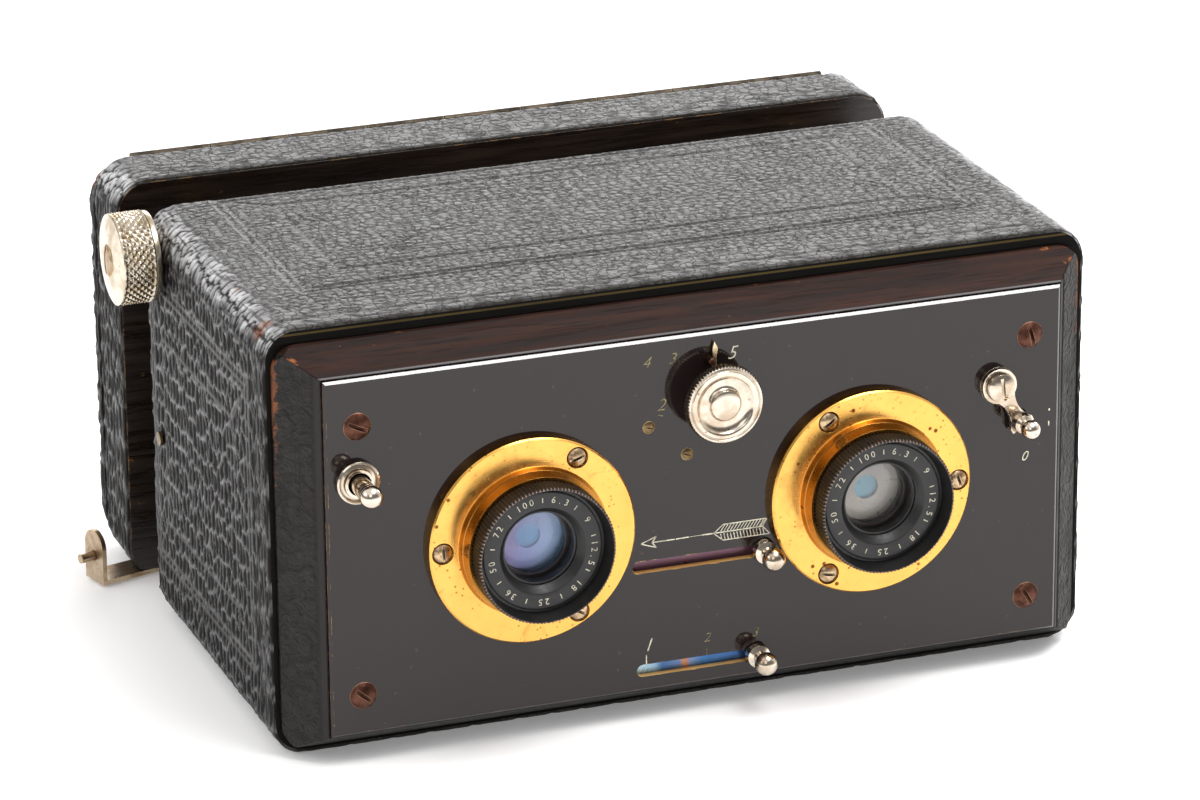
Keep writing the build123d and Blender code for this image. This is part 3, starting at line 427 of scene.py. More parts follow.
def glass_material(name, tint, middle_x, painted_reflection):
    """Clear glass: it bends what is seen through it, and lets light pass to what is behind.

    The last argument gives the colour of a diffuse film of painted reflection at the left, at the right and
    at the top, and its strength."""
    s = Shader(name)
    dust = s.times(s.ramp(s.noise(1800.0, 3.0, 0.6), 0.62, 0.8), 0.1)
    cloud = s.noise(170.0, 3.0)
    bent = s.node("BsdfRefraction", {"Color": tint, "IOR": GLASS_IOR, "Roughness": 0.0}).outputs[0]
    open_way = s.node("BsdfTransparent", {"Color": tint}).outputs[0]
    shadow_ray = s.node("LightPath").outputs["Is Shadow Ray"]
    clear = s.node("MixShader", {0: shadow_ray, 1: bent, 2: open_way}).outputs[0]
    coating = s.mix(cloud, (0.8, 0.8, 1.0), (0.9, 0.93, 1.0))
    shine = s.node("BsdfGlossy", {"Color": coating, "Roughness": 0.02}).outputs[0]
    # Painted reflection: a diffuse coloured film over the glass, paler and stronger towards the top.
    left, right, top, strength = painted_reflection
    across = s.add(s.axis("X"), s.times(s.less(cloud, 0.5), 6.0 * MM))
    reflection_tint = s.mix(s.ramp(across, (middle_x - 5.0) * MM, (middle_x + 4.0) * MM), left, right)
    reflection_tint = s.mix(s.along("Z", LENS_Z + 1.0, LENS_Z + 6.0), reflection_tint, top)
    rise = s.along("Z", LENS_Z - 6.0, LENS_Z + 6.0, 0.4 * strength, strength)
    reflection_layer = s.node("BsdfDiffuse", {"Color": reflection_tint}).outputs[0]
    seen = s.less(1.0, shadow_ray)
    shade = s.times(seen, s.most(rise, dust))
    body = s.node("MixShader", {0: shade, 1: clear, 2: reflection_layer}).outputs[0]
    fresnel = s.node("Fresnel", {"IOR": GLASS_IOR}).outputs[0]
    return s.close(s.node("MixShader", {0: s.times(fresnel, seen), 1: body, 2: shine}).outputs[0])


def ink_material(name, light, dark):
    s = Shader(name)
    grime = s.noise(1300.0, 3.0, 0.7)
    color = s.mix(s.ramp(grime, 0.42, 0.7), light, dark)
    return s.finish(color=color, rough=s.ramp(grime, 0.3, 0.7, 0.5, 0.75), specular=0.3)


# Colours of the painted reflection film on each glass: at the left, at the right, at the top, and its
# strength.
LEFT_PAINTED_REFLECTION = ((0.24, 0.15, 0.22), (0.30, 0.50, 0.68), (0.60, 0.68, 0.78), 0.32)
PLATE_PAINTED_REFLECTION = ((0.40, 0.42, 0.40), (0.38, 0.41, 0.40), (0.42, 0.44, 0.43), 0.05)
RIGHT_PAINTED_REFLECTION = ((0.34, 0.31, 0.28), (0.42, 0.42, 0.40), (0.60, 0.62, 0.62), 0.30)
PALE_BRASS = (0.62, 0.43, 0.16)
MAHOGANY = ((0.10, 0.034, 0.015), (0.26, 0.10, 0.045))
ALONG_X = (0.08, 1.0, 1.0)
CARCASS_FRONT = -36.3
TOP_MOULDING_LIP = 72.35

materials = {
    "mahogany": wood_material("mahogany", MAHOGANY, ALONG_X, (0.4, 0.6)),
    "box": wood_material("mahogany_box", MAHOGANY, ALONG_X, (0.4, 0.6), stain=CARCASS_FRONT),
    "moulding": smooth_leather_material(),
    "enamel": enamel_material(),
    "lens_glass_left": glass_material("lens_glass_left", (0.93, 0.92, 0.98), LENSES["left"].x, LEFT_PAINTED_REFLECTION),
    "lens_glass_right": glass_material("lens_glass_right", (0.95, 0.94, 0.92), LENSES["right"].x, RIGHT_PAINTED_REFLECTION),
    "plate_glass": glass_material("plain_plate", (0.80, 0.86, 0.84), 0.0, PLATE_PAINTED_REFLECTION),
    "ink": ink_material("engraving_fill", (0.80, 0.76, 0.60), (0.38, 0.34, 0.26)),
    "faint_ink": ink_material("faint_engraving_fill", (0.30, 0.25, 0.12), (0.05, 0.04, 0.025)),
}
for seed, part in enumerate(("body", "back", "door")):
    materials[part + "_grain"] = leather_material(part + "_grain", seed)
materials["sleeve"] = wood_material(
    "ebonised_sleeve", ((0.008, 0.006, 0.005), (0.028, 0.019, 0.014)), (1.0, 0.06, 1.0), (0.3, 0.5)
)
materials["rosewood"] = wood_material(
    "rosewood", ((0.011, 0.005, 0.0036), (0.05, 0.019, 0.013)), (0.06, 1.0, 1.0), (0.46, 0.62),
    worn=(0.34, 0.115, 0.035), edge=0.03, ends=0.09, shine=0.12, lip=TOP_MOULDING_LIP
)
materials["lacquered"] = wood_material(
    "lacquered_wood", ((0.006, 0.004, 0.003), (0.022, 0.013, 0.008)), (0.07, 1.0, 1.0), (0.22, 0.42),
    worn=(0.34, 0.18, 0.05), edge=0.17, ends=0.03
)

# Key: name, light and dark shade, roughness, then strength of the pits, colour of the edges, scale, and
# strength of the grime and painted shade in the crevices.
METALS = {
    "brown_brass": (
        "brown_brass", ((0.12, 0.052, 0.036), (0.04, 0.017, 0.012)), (0.32, 0.5), 0.6,
        (0.36, 0.20, 0.13), 420.0, 1.0
    ),
    "gear_brass": ("gear_brass", ((0.60, 0.36, 0.12), (0.34, 0.18, 0.06)), (0.28, 0.45), 0.5),
    "screw_brass": (
        "darkened_screw", ((0.22, 0.15, 0.07), (0.07, 0.045, 0.025)), (0.3, 0.5), 0.8,
        (0.4, 0.3, 0.16), 700.0, 1.0
    ),
    "flange_screw": (
        "flange_screw_metal", ((0.62, 0.46, 0.28), (0.22, 0.12, 0.06)), (0.2, 0.4), 0.8,
        (0.75, 0.6, 0.38), 600.0, 1.0
    ),
    "nickel": ("aged_plating", ((0.70, 0.62, 0.52), (0.48, 0.38, 0.28)), (0.06, 0.16), 0.8, None, 240.0, 1.0),
    "knurled_nickel": (
        "knurled_plating", ((0.64, 0.57, 0.46), (0.40, 0.31, 0.20)), (0.12, 0.26), 0.8, None, 240.0, 1.0
    ),
    "worn_nickel": ("worn_plating", ((0.50, 0.40, 0.29), (0.30, 0.20, 0.12)), (0.22, 0.42), 0.5, PALE_BRASS),
    "pointer": ("polished_leaf", ((0.82, 0.72, 0.50), (0.55, 0.42, 0.25)), (0.15, 0.3), 0.3),
    "hinge": (
        "blackened_hinge", ((0.09, 0.07, 0.05), (0.03, 0.024, 0.018)), (0.4, 0.6), 0.6, (0.30, 0.26, 0.20)
    ),
    "steel": ("bright_steel", ((0.56, 0.55, 0.53), (0.38, 0.37, 0.35)), (0.2, 0.35)),
}
# Key: name, dark and light shade, roughness, then colour and width of the rubbed edges and
# whether the wear of each point sets them.
PAINTS = {
    "card": ("matt_card", ((0.006, 0.006, 0.006), (0.014, 0.013, 0.012)), (0.7, 0.9)),
    "sheath": (
        "sheath_black", ((0.008, 0.008, 0.009), (0.022, 0.022, 0.024)), (0.35, 0.5), (0.25, 0.24, 0.23), 0.3
    ),
    "black_brass": (
        "black_lacquer", ((0.008, 0.0075, 0.0075), (0.02, 0.019, 0.019)), (0.28, 0.42),
        (0.40, 0.24, 0.16), 0.12
    ),
    "lens_ring": (
        "worn_black_lacquer", ((0.006, 0.0055, 0.0055), (0.015, 0.014, 0.014)), (0.30, 0.44),
        (0.34, 0.21, 0.15), 0.2, True
    ),
}
materials.update({key: metal_material(*values) for key, values in METALS.items()})
materials.update({key: paint_material(*values) for key, values in PAINTS.items()})

PLATE_STOPS = [(-37.0, (0.52, 0.44, 0.66)), (-33.0, (0.42, 0.50, 0.80)), (-28.0, (0.56, 0.74, 0.88))]
PLATE_STOPS += [(-13.0, (0.46, 0.66, 0.78)), (-8.5, (0.30, 0.50, 0.68)), (-6.5, (0.06, 0.17, 0.42))]
PLATE_STOPS += [(-3.6, (0.12, 0.22, 0.45)), (-2.4, (0.55, 0.24, 0.10)), (-1.2, (0.16, 0.27, 0.50))]
PLATE_STOPS += [(1.0, (0.05, 0.18, 0.46)), (8.0, (0.045, 0.13, 0.36)), (18.0, (0.70, 0.68, 0.62))]
PLATE_STOPS += [(40.0, (0.62, 0.58, 0.52))]
BLADE_STOPS = [(27.0, (0.26, 0.14, 0.20)), (30.6, (0.20, 0.11, 0.18)), (33.0, (0.14, 0.34, 0.52))]
BLADE_STOPS += [(37.0, (0.24, 0.66, 0.90))]
materials["diaphragm"] = blued_steel_material("blued_diaphragm", "X", PLATE_STOPS)
materials["shutter"] = blued_steel_material("bronzed_shutter", "Z", BLADE_STOPS)

NODE_MATERIALS = {
    "mahogany": "front_board rear_door",
    "box": "carcass",
    "sleeve": "inner_sleeve",
    "rosewood": "top_moulding",
    "lacquered": "back_frame",
    "moulding": "left_moulding right_moulding bottom_moulding",
    "card": "front_septum rear_septum",
    "enamel": "front_plate",
    "brown_brass": "plate_screws stop_pin",
    "gear_brass": "focus_racks focus_pinions shaft_bushes tripod_bush blade_guides tension_cam",
    "screw_brass": "mechanism_screws side_nail",
    "flange_screw": "flange_screws",
    "nickel": "diaphragm_stud shutter_stud mode_lever mode_lever_screw mode_lever_seat "
    "release_bush release_button",
    "worn_nickel": "back_latch focus_knob_screw latch_screw",
    "hinge": "hinge_door_leaf hinge_fixed_leaf hinge_pin",
    "pointer": "speed_pointer",
    "steel": "focus_shaft pressure_springs release_spring",
    "black_brass": "rear_cell_left rear_cell_right retaining_rings",
    "diaphragm": "diaphragm_plate",
    "shutter": "shutter_blade",
    "sheath": "plate_sheath",
    "lens_glass_left": "front_glass_left rear_glass_left",
    "lens_glass_right": "front_glass_right rear_glass_right",
    "plate_glass": "glass_plate",
}


def cover(node, material):
    """Gives a CAD node its material."""
    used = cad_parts[node].data.materials
    used.clear()
    used.append(material)


for key, nodes in NODE_MATERIALS.items():
    for node in nodes.split():
        cover(node, materials[key])
for side in LENSES:
    cover("lens_flange_" + side, flange_material(side))


# Mesh helpers ------------------------------------------------------------------------


def new_piece(name, points, faces, looks, body, replaced=(), angle=38.0, attributes=None):
    """A mesh piece from points in millimetres, riding on a body. looks is a material's key and a slot name;
    the slot is not used.
    """
    mesh = bpy.data.meshes.new(name)
    mesh.from_pydata([tuple(p) for p in np.asarray(points, float) * MM], [], [tuple(f) for f in faces])
    for key, values in (attributes or {}).items():
        layer = mesh.attributes.new(key, "FLOAT", "POINT")
        layer.data.foreach_set("value", np.asarray(values, np.float32))
    work = bmesh.new()
    work.from_mesh(mesh)
    bmesh.ops.recalc_face_normals(work, faces=work.faces)
    work.to_mesh(mesh)
    work.free()
    mesh.shade_smooth()
    mesh.set_sharp_from_angle(angle=math.radians(angle))
    mesh.materials.append(materials[looks[0]])
    piece = bpy.data.objects.new(name, mesh)
    bpy.context.scene.collection.objects.link(piece)
    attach(piece, body)
    if replaced:
        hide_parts(*replaced)


def turned(name, profile, centre, looks, body, replaced, count, shape, axis="y", wear=None):
    """A turned piece. The profile is (radius, place along the axis) and closes on itself.

    looks is a material's key and a slot name; the slot is not used. shape(angles, radius, place) gives the
    radius all round for one profile point. wear has a number for each profile point, less in the gaps between
    teeth."""
    angles = np.arange(count) * 2 * math.pi / count
    points, faces, worn, columns = [], [], [], []
    for number, (radius, place) in enumerate(profile):
        first = len(points)
        if radius == 0:
            columns.append([first] * count)
            rims = [(0.0, 0.0, place)]
        else:
            around = shape(angles, radius, place)
            rims = list(zip(around * np.cos(angles), around * np.sin(angles), np.full(count, place)))
            columns.append(list(range(first, first + count)))
        for a, b, along in rims:
            a_at, b_at = centre[0] + a, centre[1] + b
            points.append((a_at, along, b_at) if axis == "y" else (along, a_at, b_at))
            worn.append(wear[number] * max(0.0, 1 - 4 * (radius - math.hypot(a, b))) if wear else 0.0)
    total = len(profile)
    for j in range(total):
        near, far = columns[j], columns[(j + 1) % total]
        if near[0] == near[1] and far[0] == far[1]:
            continue
        for i in range(count):
            k = (i + 1) % count
            face = [near[i], near[k], far[k], far[i]]
            faces.append([v for n, v in enumerate(face) if v not in face[:n]])
    new_piece(name, points, faces, looks, body, [replaced], attributes={"wear": worn})


def triangle(phase):
    """1 at whole numbers and 0 halfway between them."""
    return np.abs(2 * (phase - np.floor(phase)) - 1)


def knurl(radius, teeth, depth, fade):
    """Straight teeth at the given radius, dying away over the last fade millimetres inside it."""

    def shape(angles, at, place):
        share = max(0.0, 1 - (radius - at) / fade)
        return at - depth * share * (1 - triangle(angles * teeth / (2 * math.pi)))

    return shape


# Speed knob --------------------------------------------------------------------------

knob_low, knob_high = limits("speed_knob")
front = knob_low.y + 0.2
KNOB_R = 7.2
KNOB_TEETH = 72
KNOB_SHOULDER = -45.9
# Radius, and place behind the front of the rim.
KNOB_FACE = [(0, -0.28), (1.4, -0.26), (2.4, -0.18), (2.68, -0.02), (2.74, 0.25), (2.95, 0.62), (3.4, 0.82)]
KNOB_FACE += [(4.2, 0.80), (4.95, 0.55), (5.25, 0.22), (5.4, 0.05), (5.75, -0.02), (6.15, 0), (6.28, 0.12)]
KNOB_FACE += [(6.42, 0.12), (6.55, -0.02), (6.95, 0.08), (KNOB_R - 0.06, 0.28), (KNOB_R, 0.5)]
KNOB_FACE += [(KNOB_R, 2.2), (KNOB_R - 0.35, 2.45), (6.0, 2.7), (2.6, 2.9)]
knob_profile = [(radius, front + behind) for radius, behind in KNOB_FACE]
knob_profile += [(2.6, KNOB_SHOULDER), (1.5, KNOB_SHOULDER), (1.5, knob_high.y), (0, knob_high.y)]
teeth = knurl(KNOB_R, KNOB_TEETH, 0.36, 0.34)
knob_axis = (SPEED_AXIS.x, SPEED_AXIS.z)
nickel = ("nickel", "nickel")
node = "speed_knob"
turned(node + "_milled", knob_profile, knob_axis, nickel, node, node, KNOB_TEETH * 5, teeth)


# Focus knob --------------------------------------------------------------------------

focus_low, focus_high = limits("focus_knob")
FOCUS_R = 8.45
FOCUS_AXIS = ((focus_low.y + focus_high.y) / 2, (focus_low.z + focus_high.z) / 2)
outer, inner = focus_low.x + 0.7, focus_high.x
BAND = (outer + 0.4, inner - 1.3)
ROWS = 33
# Radius, and place inwards of the rim's outer face.
FOCUS_FACE = [(0, -0.7), (3.1, -0.7), (4.4, -0.62), (5.5, -0.47), (6.5, -0.28), (7.3, -0.12), (7.9, -0.02)]
FOCUS_FACE += [(FOCUS_R - 0.3, 0), (FOCUS_R - 0.08, 0.12)]
FOCUS_SHOULDER = [(0.25, 1.15), (0.15, 1.05), (0.1, 0.4), (0.2, 0.15), (0.6, 0)]
focus_profile = [(radius, outer + inwards) for radius, inwards in FOCUS_FACE]
focus_profile += [(FOCUS_R, x) for x in np.linspace(*BAND, ROWS)]
focus_profile += [(FOCUS_R - drop, inner - outwards) for drop, outwards in FOCUS_SHOULDER] + [(0, inner)]
DIAMONDS = 34
DIAMOND_LENGTH = 1.36


def diamond_knurl(angles, at, place):
    """Small pyramids between two crossing sets of grooves."""
    if abs(at - FOCUS_R) > 1e-6:
        return np.full(len(angles), at)
    around = angles * DIAMONDS / (2 * math.pi)
    along = (place - BAND[0]) / DIAMOND_LENGTH
    ridge = np.minimum(1 - triangle(around + along + 0.5), 1 - triangle(around - along + 0.5))
    fade = min(1.0, (place - BAND[0]) / 0.25, (BAND[1] - place) / 0.25)
    return at + 0.1 - 0.5 * fade * (1 - ridge) - 0.1 * (1 - fade)


knurled = ("knurled_nickel", "nickel")
node = "focus_knob"
turned(node + "_knurled", focus_profile, FOCUS_AXIS, knurled, node, node, DIAMONDS * 8, diamond_knurl, "x")


# Lens mounts -------------------------------------------------------------------------

RING_R = 12.75
RING_TEETH = 116
mount_low, mount_high = limits("lens_mount_left")
lens_front, engraved = mount_low.y, mount_low.y + 2.8
glass_low = limits("front_glass_left")[0].y
# Radius, place behind the flange's face, the lens front, the engraved face or the glass, and wear.
RIM = [(RING_R, 1.4, 0.55), (RING_R, 0.5, 0.75), (RING_R - 0.12, 0.45, 0.9), (RING_R - 0.1, 0.16, 1.0)]
RIM += [(RING_R - 0.25, 0.02, 1.0), (RING_R - 0.42, 0, 0.9), (RING_R - 0.55, 0.06, 0.6)]
RIM += [(RING_R - 0.72, 0.9, 0)]
FACE = [(11.7, -0.5, 0), (11.45, 0.35, 0), (11.02, 0.35, 0), (10.98, 0.02, 0.2), (10.85, -0.05, 0.5)]
FACE += [(10.6, -0.06, 0.15), (8.15, -0.06, 0.15), (7.95, 0.02, 0.45), (7.15, 1.3, 0.1), (7.0, 1.4, 0.3)]
FACE += [(6.9, 1.5, 0), (6.9, 1.9, 0), (6.5, 1.9, 0)]
NECK = [(12.0, -3.6, 0), (RING_R - 0.3, -3.6, 0), (RING_R - 0.28, -3.85, 0.2), (RING_R, -4.0, 0.4)]
SEAT = [(6.5, 2.7, 0), (5.8, 2.7, 0)]
mount_rows = [(5.8, mount_high.y, 0), (12.0, mount_high.y, 0)]
for base, rows in ((FLANGE_FACE, NECK), (lens_front, RIM), (engraved, FACE), (glass_low, SEAT)):
    mount_rows += [(radius, base + behind, worn) for radius, behind, worn in rows]
mount_profile = [row[:2] for row in mount_rows]
mount_wear = [row[2] for row in mount_rows]
milling = knurl(RING_R, RING_TEETH, 0.32, 0.5)
lacquer = ("lens_ring", "black_brass")
count = RING_TEETH * 5
for side, centre in LENSES.items():
    node = "lens_mount_" + side
    at = (centre.x, LENS_Z)
    turned(node + "_milled", mount_profile, at, lacquer, "body", node, count, milling, wear=mount_wear)


# Engraved numbers, ticks and the arrow ---------------------------------------------------

INK_PROUD = 0.03
INK_DEPTH = 0.05


def glyph(text, height, slant=0.0, weight=0.0):
    """Outline mesh of a number, as points and faces lying in X and Y, centred."""
    curve = bpy.data.curves.new("glyph", "FONT")
    curve.body = text
    curve.size = height * 1.38
    curve.align_x, curve.align_y = "CENTER", "CENTER"
    curve.resolution_u = 3
    curve.extrude = (INK_DEPTH + INK_PROUD) / 2
    curve.offset = height * weight
    curve.shear = slant
    holder = bpy.data.objects.new("glyph", curve)
    mesh = bpy.data.meshes.new_from_object(holder)
    points = [tuple(v.co) for v in mesh.vertices]
    faces = [tuple(p.vertices) for p in mesh.polygons]
    bpy.data.objects.remove(holder)
    bpy.data.meshes.remove(mesh)
    bpy.data.curves.remove(curve)
    return points, faces


def stroke(points, width):
    """A thin raised line through points, as a closed mesh lying in X and Y."""
    verts, faces = [], []
    half = (INK_DEPTH + INK_PROUD) / 2
    for (x0, y0), (x1, y1) in zip(points, points[1:]):
        length = math.hypot(x1 - x0, y1 - y0)
        nx, ny = -(y1 - y0) / length * width / 2, (x1 - x0) / length * width / 2
        start = len(verts)
        for z in (-half, half):
            verts += [(x0 + nx, y0 + ny, z), (x0 - nx, y0 - ny, z)]
            verts += [(x1 - nx, y1 - ny, z), (x1 + nx, y1 + ny, z)]
        quads = [(0, 1, 2, 3), (4, 7, 6, 5), (0, 4, 5, 1), (1, 5, 6, 2), (2, 6, 7, 3), (3, 7, 4, 0)]
        faces += [tuple(start + i for i in quad) for quad in quads]
    return verts, faces


def placed(shape, x, z, turn_deg=0.0):
    """The shape moved to (x, z) and turned, still lying in X and Y."""
    verts, faces = shape
    c, s = math.cos(math.radians(turn_deg)), math.sin(math.radians(turn_deg))
    return [(x + a * c - b * s, z + a * s + b * c, d) for a, b, d in verts], faces


def ink_piece(name, shapes, surface, ink="ink"):
    """Joins flat shapes into one piece just proud of a surface that faces the front."""
    verts, faces = [], []
    for more, quads in shapes:
        start = len(verts)
        verts += more
        faces += [tuple(start + i for i in quad) for quad in quads]
    depth = surface - INK_PROUD + (INK_DEPTH + INK_PROUD) / 2
    points = [(x, depth - d, z) for x, z, d in verts]
    new_piece(name, points, faces, (ink, "front_enamel"), "body")


ring_numbers = ["6.3", "9", "12.5", "18", "25", "36", "50", "72", "100"]
NUMBER_R = 9.5
TICK_ENDS = (9.05, 9.95)
DIGIT_STEP = 7.6  # degrees
for side, centre in LENSES.items():
    shapes = []
    gap = 360 / len(ring_numbers)
    for number, text in enumerate(ring_numbers):
        angle = 90 - gap * (number + 0.5)
        for k, digit in enumerate(text):
            at = angle - (k - (len(text) - 1) / 2) * DIGIT_STEP
            x = centre.x + NUMBER_R * math.cos(math.radians(at))
            z = LENS_Z + NUMBER_R * math.sin(math.radians(at))
            shapes.append(placed(glyph(digit, 1.22, 0.0, -0.004), x, z, at - 90))
        tick = math.radians(angle - gap / 2)
        ends = [(centre.x + r * math.cos(tick), LENS_Z + r * math.sin(tick)) for r in TICK_ENDS]
        shapes.append(stroke(ends, 0.16))
    ink_piece("lens_scale_" + side, shapes, engraved - 0.06)

HAIR = 0.15
SLANT = 0.35
THIN = -0.012
plate_marks = [
    placed(glyph("5", 2.5, SLANT, THIN), 5.9, 67.6),
    placed(glyph("1", 2.5, SLANT, THIN), -10.15, 14.35),
    placed(glyph("0", 1.9, SLANT, THIN), 62.5, 40.2),
    stroke([(-10.4, 10.9), (-10.4, 12.6)], HAIR * 1.4),
    stroke([(67.35, 48.4), (67.35, 48.8)], HAIR * 2),
    stroke([(67.3, 45.5), (67.3, 46.4)], HAIR * 1.6),
]
# These marks get a darker, fainter fill than the rest.
faint_marks = [
    placed(glyph("4", 2.2, SLANT, THIN), -10.2, 67.8),
    placed(glyph("3", 2.1, SLANT, THIN), -5.3, 68.0),
    placed(glyph("2", 2.3, SLANT, THIN), -7.4, 59.6),
    placed(glyph("2", 1.8, SLANT, THIN), 1.1, 14.2),
    placed(glyph("3", 1.8, SLANT, THIN), 10.3, 13.8),
    stroke([(-7.9, 57.9), (-7.0, 57.6)], HAIR),
    stroke([(1.1, 10.9), (1.1, 12.0)], HAIR),
]
ARROW_Z = 34.0
TIP, FEATHER, FEATHER_END = -11.3, 2.6, 12.6
VANE = 1.5


def arrow_strokes():
    """The arrow: a hollow barbed head, a broken shaft and two hatched vanes."""
    head = [(TIP, 0), (TIP + 2.9, 1.05), (TIP + 2.1, 0), (TIP + 2.9, -1.05), (TIP, 0)]
    lines = [(head, 0.2), ([(TIP + 2.1, 0), (-4.9, 0)], 0.2), ([(-4.7, 0), (-2.2, 0.05)], 0.22)]
    lines += [([(-2.0, 0.05), (0.4, 0.05)], 0.08), ([(0.4, 0.05), (FEATHER + 0.3, 0.05)], 0.24)]
    lines.append(([(FEATHER, 0.05), (FEATHER_END - 0.6, 0.05)], 0.2))
    for sign, end in ((1, FEATHER_END), (-1, FEATHER_END + 0.6)):
        vane = [(FEATHER, 0.1 * sign), (FEATHER + 1.7, VANE * sign)]
        vane += [(end, VANE * sign), (end - 1.2, 0.15 * sign)]
        lines.append((vane, 0.17))
        lean = 0.8 if sign > 0 else 0.25
        for k in range(14):
            x = FEATHER + 1.2 + 0.62 * k
            lines.append(([(x, 0.2 * sign), (x + lean, (VANE - 0.1) * sign)], 0.13))
    return [stroke([(x, ARROW_Z + z) for x, z in points], width) for points, width in lines]


ink_piece("plate_engraving", plate_marks + arrow_strokes(), PLATE_FRONT)
ink_piece("plate_engraving_faint", faint_marks, PLATE_FRONT, "faint_ink")


# Leather -----------------------------------------------------------------------------


def scatter(u, v, seed):
    """A repeatable number from 0 to 1 for every whole (u, v)."""
    value = np.sin(u * 127.1 + v * 311.7 + seed * 74.7) * 43758.5453
    return value - np.floor(value)


def pebbles(u, v, seed, period):
    """How far each point is from the border between grains: 0 on it, about 1 inside.

    u repeats after period grains."""
    iu, iv = np.floor(u), np.floor(v)
    best = np.full(u.shape, 9.0)
    second = np.full(u.shape, 9.0)
    for du in (-1, 0, 1):
        for dv in (-1, 0, 1):
            cu, cv = iu + du, iv + dv
            key = np.mod(cu, period)
            a = cu + 0.15 + 0.7 * scatter(key, cv, seed)
            b = cv + 0.15 + 0.7 * scatter(key, cv, seed + 5)
            far = np.hypot(a - u, b - v)
            second = np.minimum(second, np.maximum(best, far))
            best = np.minimum(best, far)
    return second - best


def drift(u, v, seed):
    """Smooth noise from 0 to 1."""
    iu, iv = np.floor(u), np.floor(v)
    fu, fv = u - iu, v - iv
    fu, fv = fu * fu * (3 - 2 * fu), fv * fv * (3 - 2 * fv)
    low = scatter(iu, iv, seed) * (1 - fu) + scatter(iu + 1, iv, seed) * fu
    high = scatter(iu, iv + 1, seed) * (1 - fu) + scatter(iu + 1, iv + 1, seed) * fu
    return low * (1 - fv) + high * fv


def step(value, low, high):
    t = np.clip((value - low) / (high - low), 0, 1)
    return t * t * (3 - 2 * t)


def line_near(distance, width=0.40):
    return np.exp(-((distance / width) ** 2))


def box_line(a, b, a_range, b_range):
    """Distance to the outline of a rectangle in (a, b)."""
    ca, cb = sum(a_range) / 2, sum(b_range) / 2
    qa = np.abs(a - ca) - (a_range[1] - a_range[0]) / 2
    qb = np.abs(b - cb) - (b_range[1] - b_range[0]) / 2
    outside = np.hypot(np.maximum(qa, 0), np.maximum(qb, 0))
    return np.abs(outside + np.minimum(np.maximum(qa, qb), 0))


def segment_line(a, b, start, end):
    """Distance to a straight segment in (a, b)."""
    da, db = end[0] - start[0], end[1] - start[1]
    t = np.clip(((a - start[0]) * da + (b - start[1]) * db) / (da * da + db * db), 0, 1)
    return np.hypot(a - start[0] - t * da, b - start[1] - t * db)


def tooling(a, b, outer, inner, edge):
    """Blind-tooled lines: an outer double line, an inner single one, and mitres joining their corners."""
    groove = line_near(box_line(a, b, *outer) - 0.8) + 0.9 * line_near(box_line(a, b, *inner))
    groove += 0.6 * line_near(box_line(a, b, *edge))
    for i in (0, 1):
        for j in (0, 1):
            mitre = segment_line(a, b, (outer[0][i], outer[1][j]), (inner[0][i], inner[1][j]))
            groove += 0.8 * line_near(mitre, 0.35)
    return np.clip(groove, 0, 1)


def ring_path(half, z, corner, spacing):
    """Points and outward directions round a rounded rectangle, starting at the lower right."""
    centres = [(half - corner, z[0] + corner, -90), (half - corner, z[1] - corner, 0)]
    centres += [(-half + corner, z[1] - corner, 90), (-half + corner, z[0] + corner, 180)]
    arc_count = max(4, round(corner * math.pi / 2 / spacing))
    arcs = []
    for cx, cz, start in centres:
        turns = [math.radians(start + 90 * k / arc_count) for k in range(arc_count + 1)]
        outs = [(math.cos(turn), math.sin(turn)) for turn in turns]
        arcs.append([(cx + corner * a, cz + corner * b, a, b) for a, b in outs])
    parts = []
    for arc, following in zip(arcs, arcs[1:] + arcs[:1]):
        last, first = arc[-1], following[0]
        count = round(math.hypot(first[0] - last[0], first[1] - last[1]) / spacing)
        parts += arc
        for f in (k / count for k in range(1, count)):
            at = [last[n] * (1 - f) + first[n] * f for n in (0, 1)]
            parts.append((*at, *last[2:]))
    return np.array(parts)


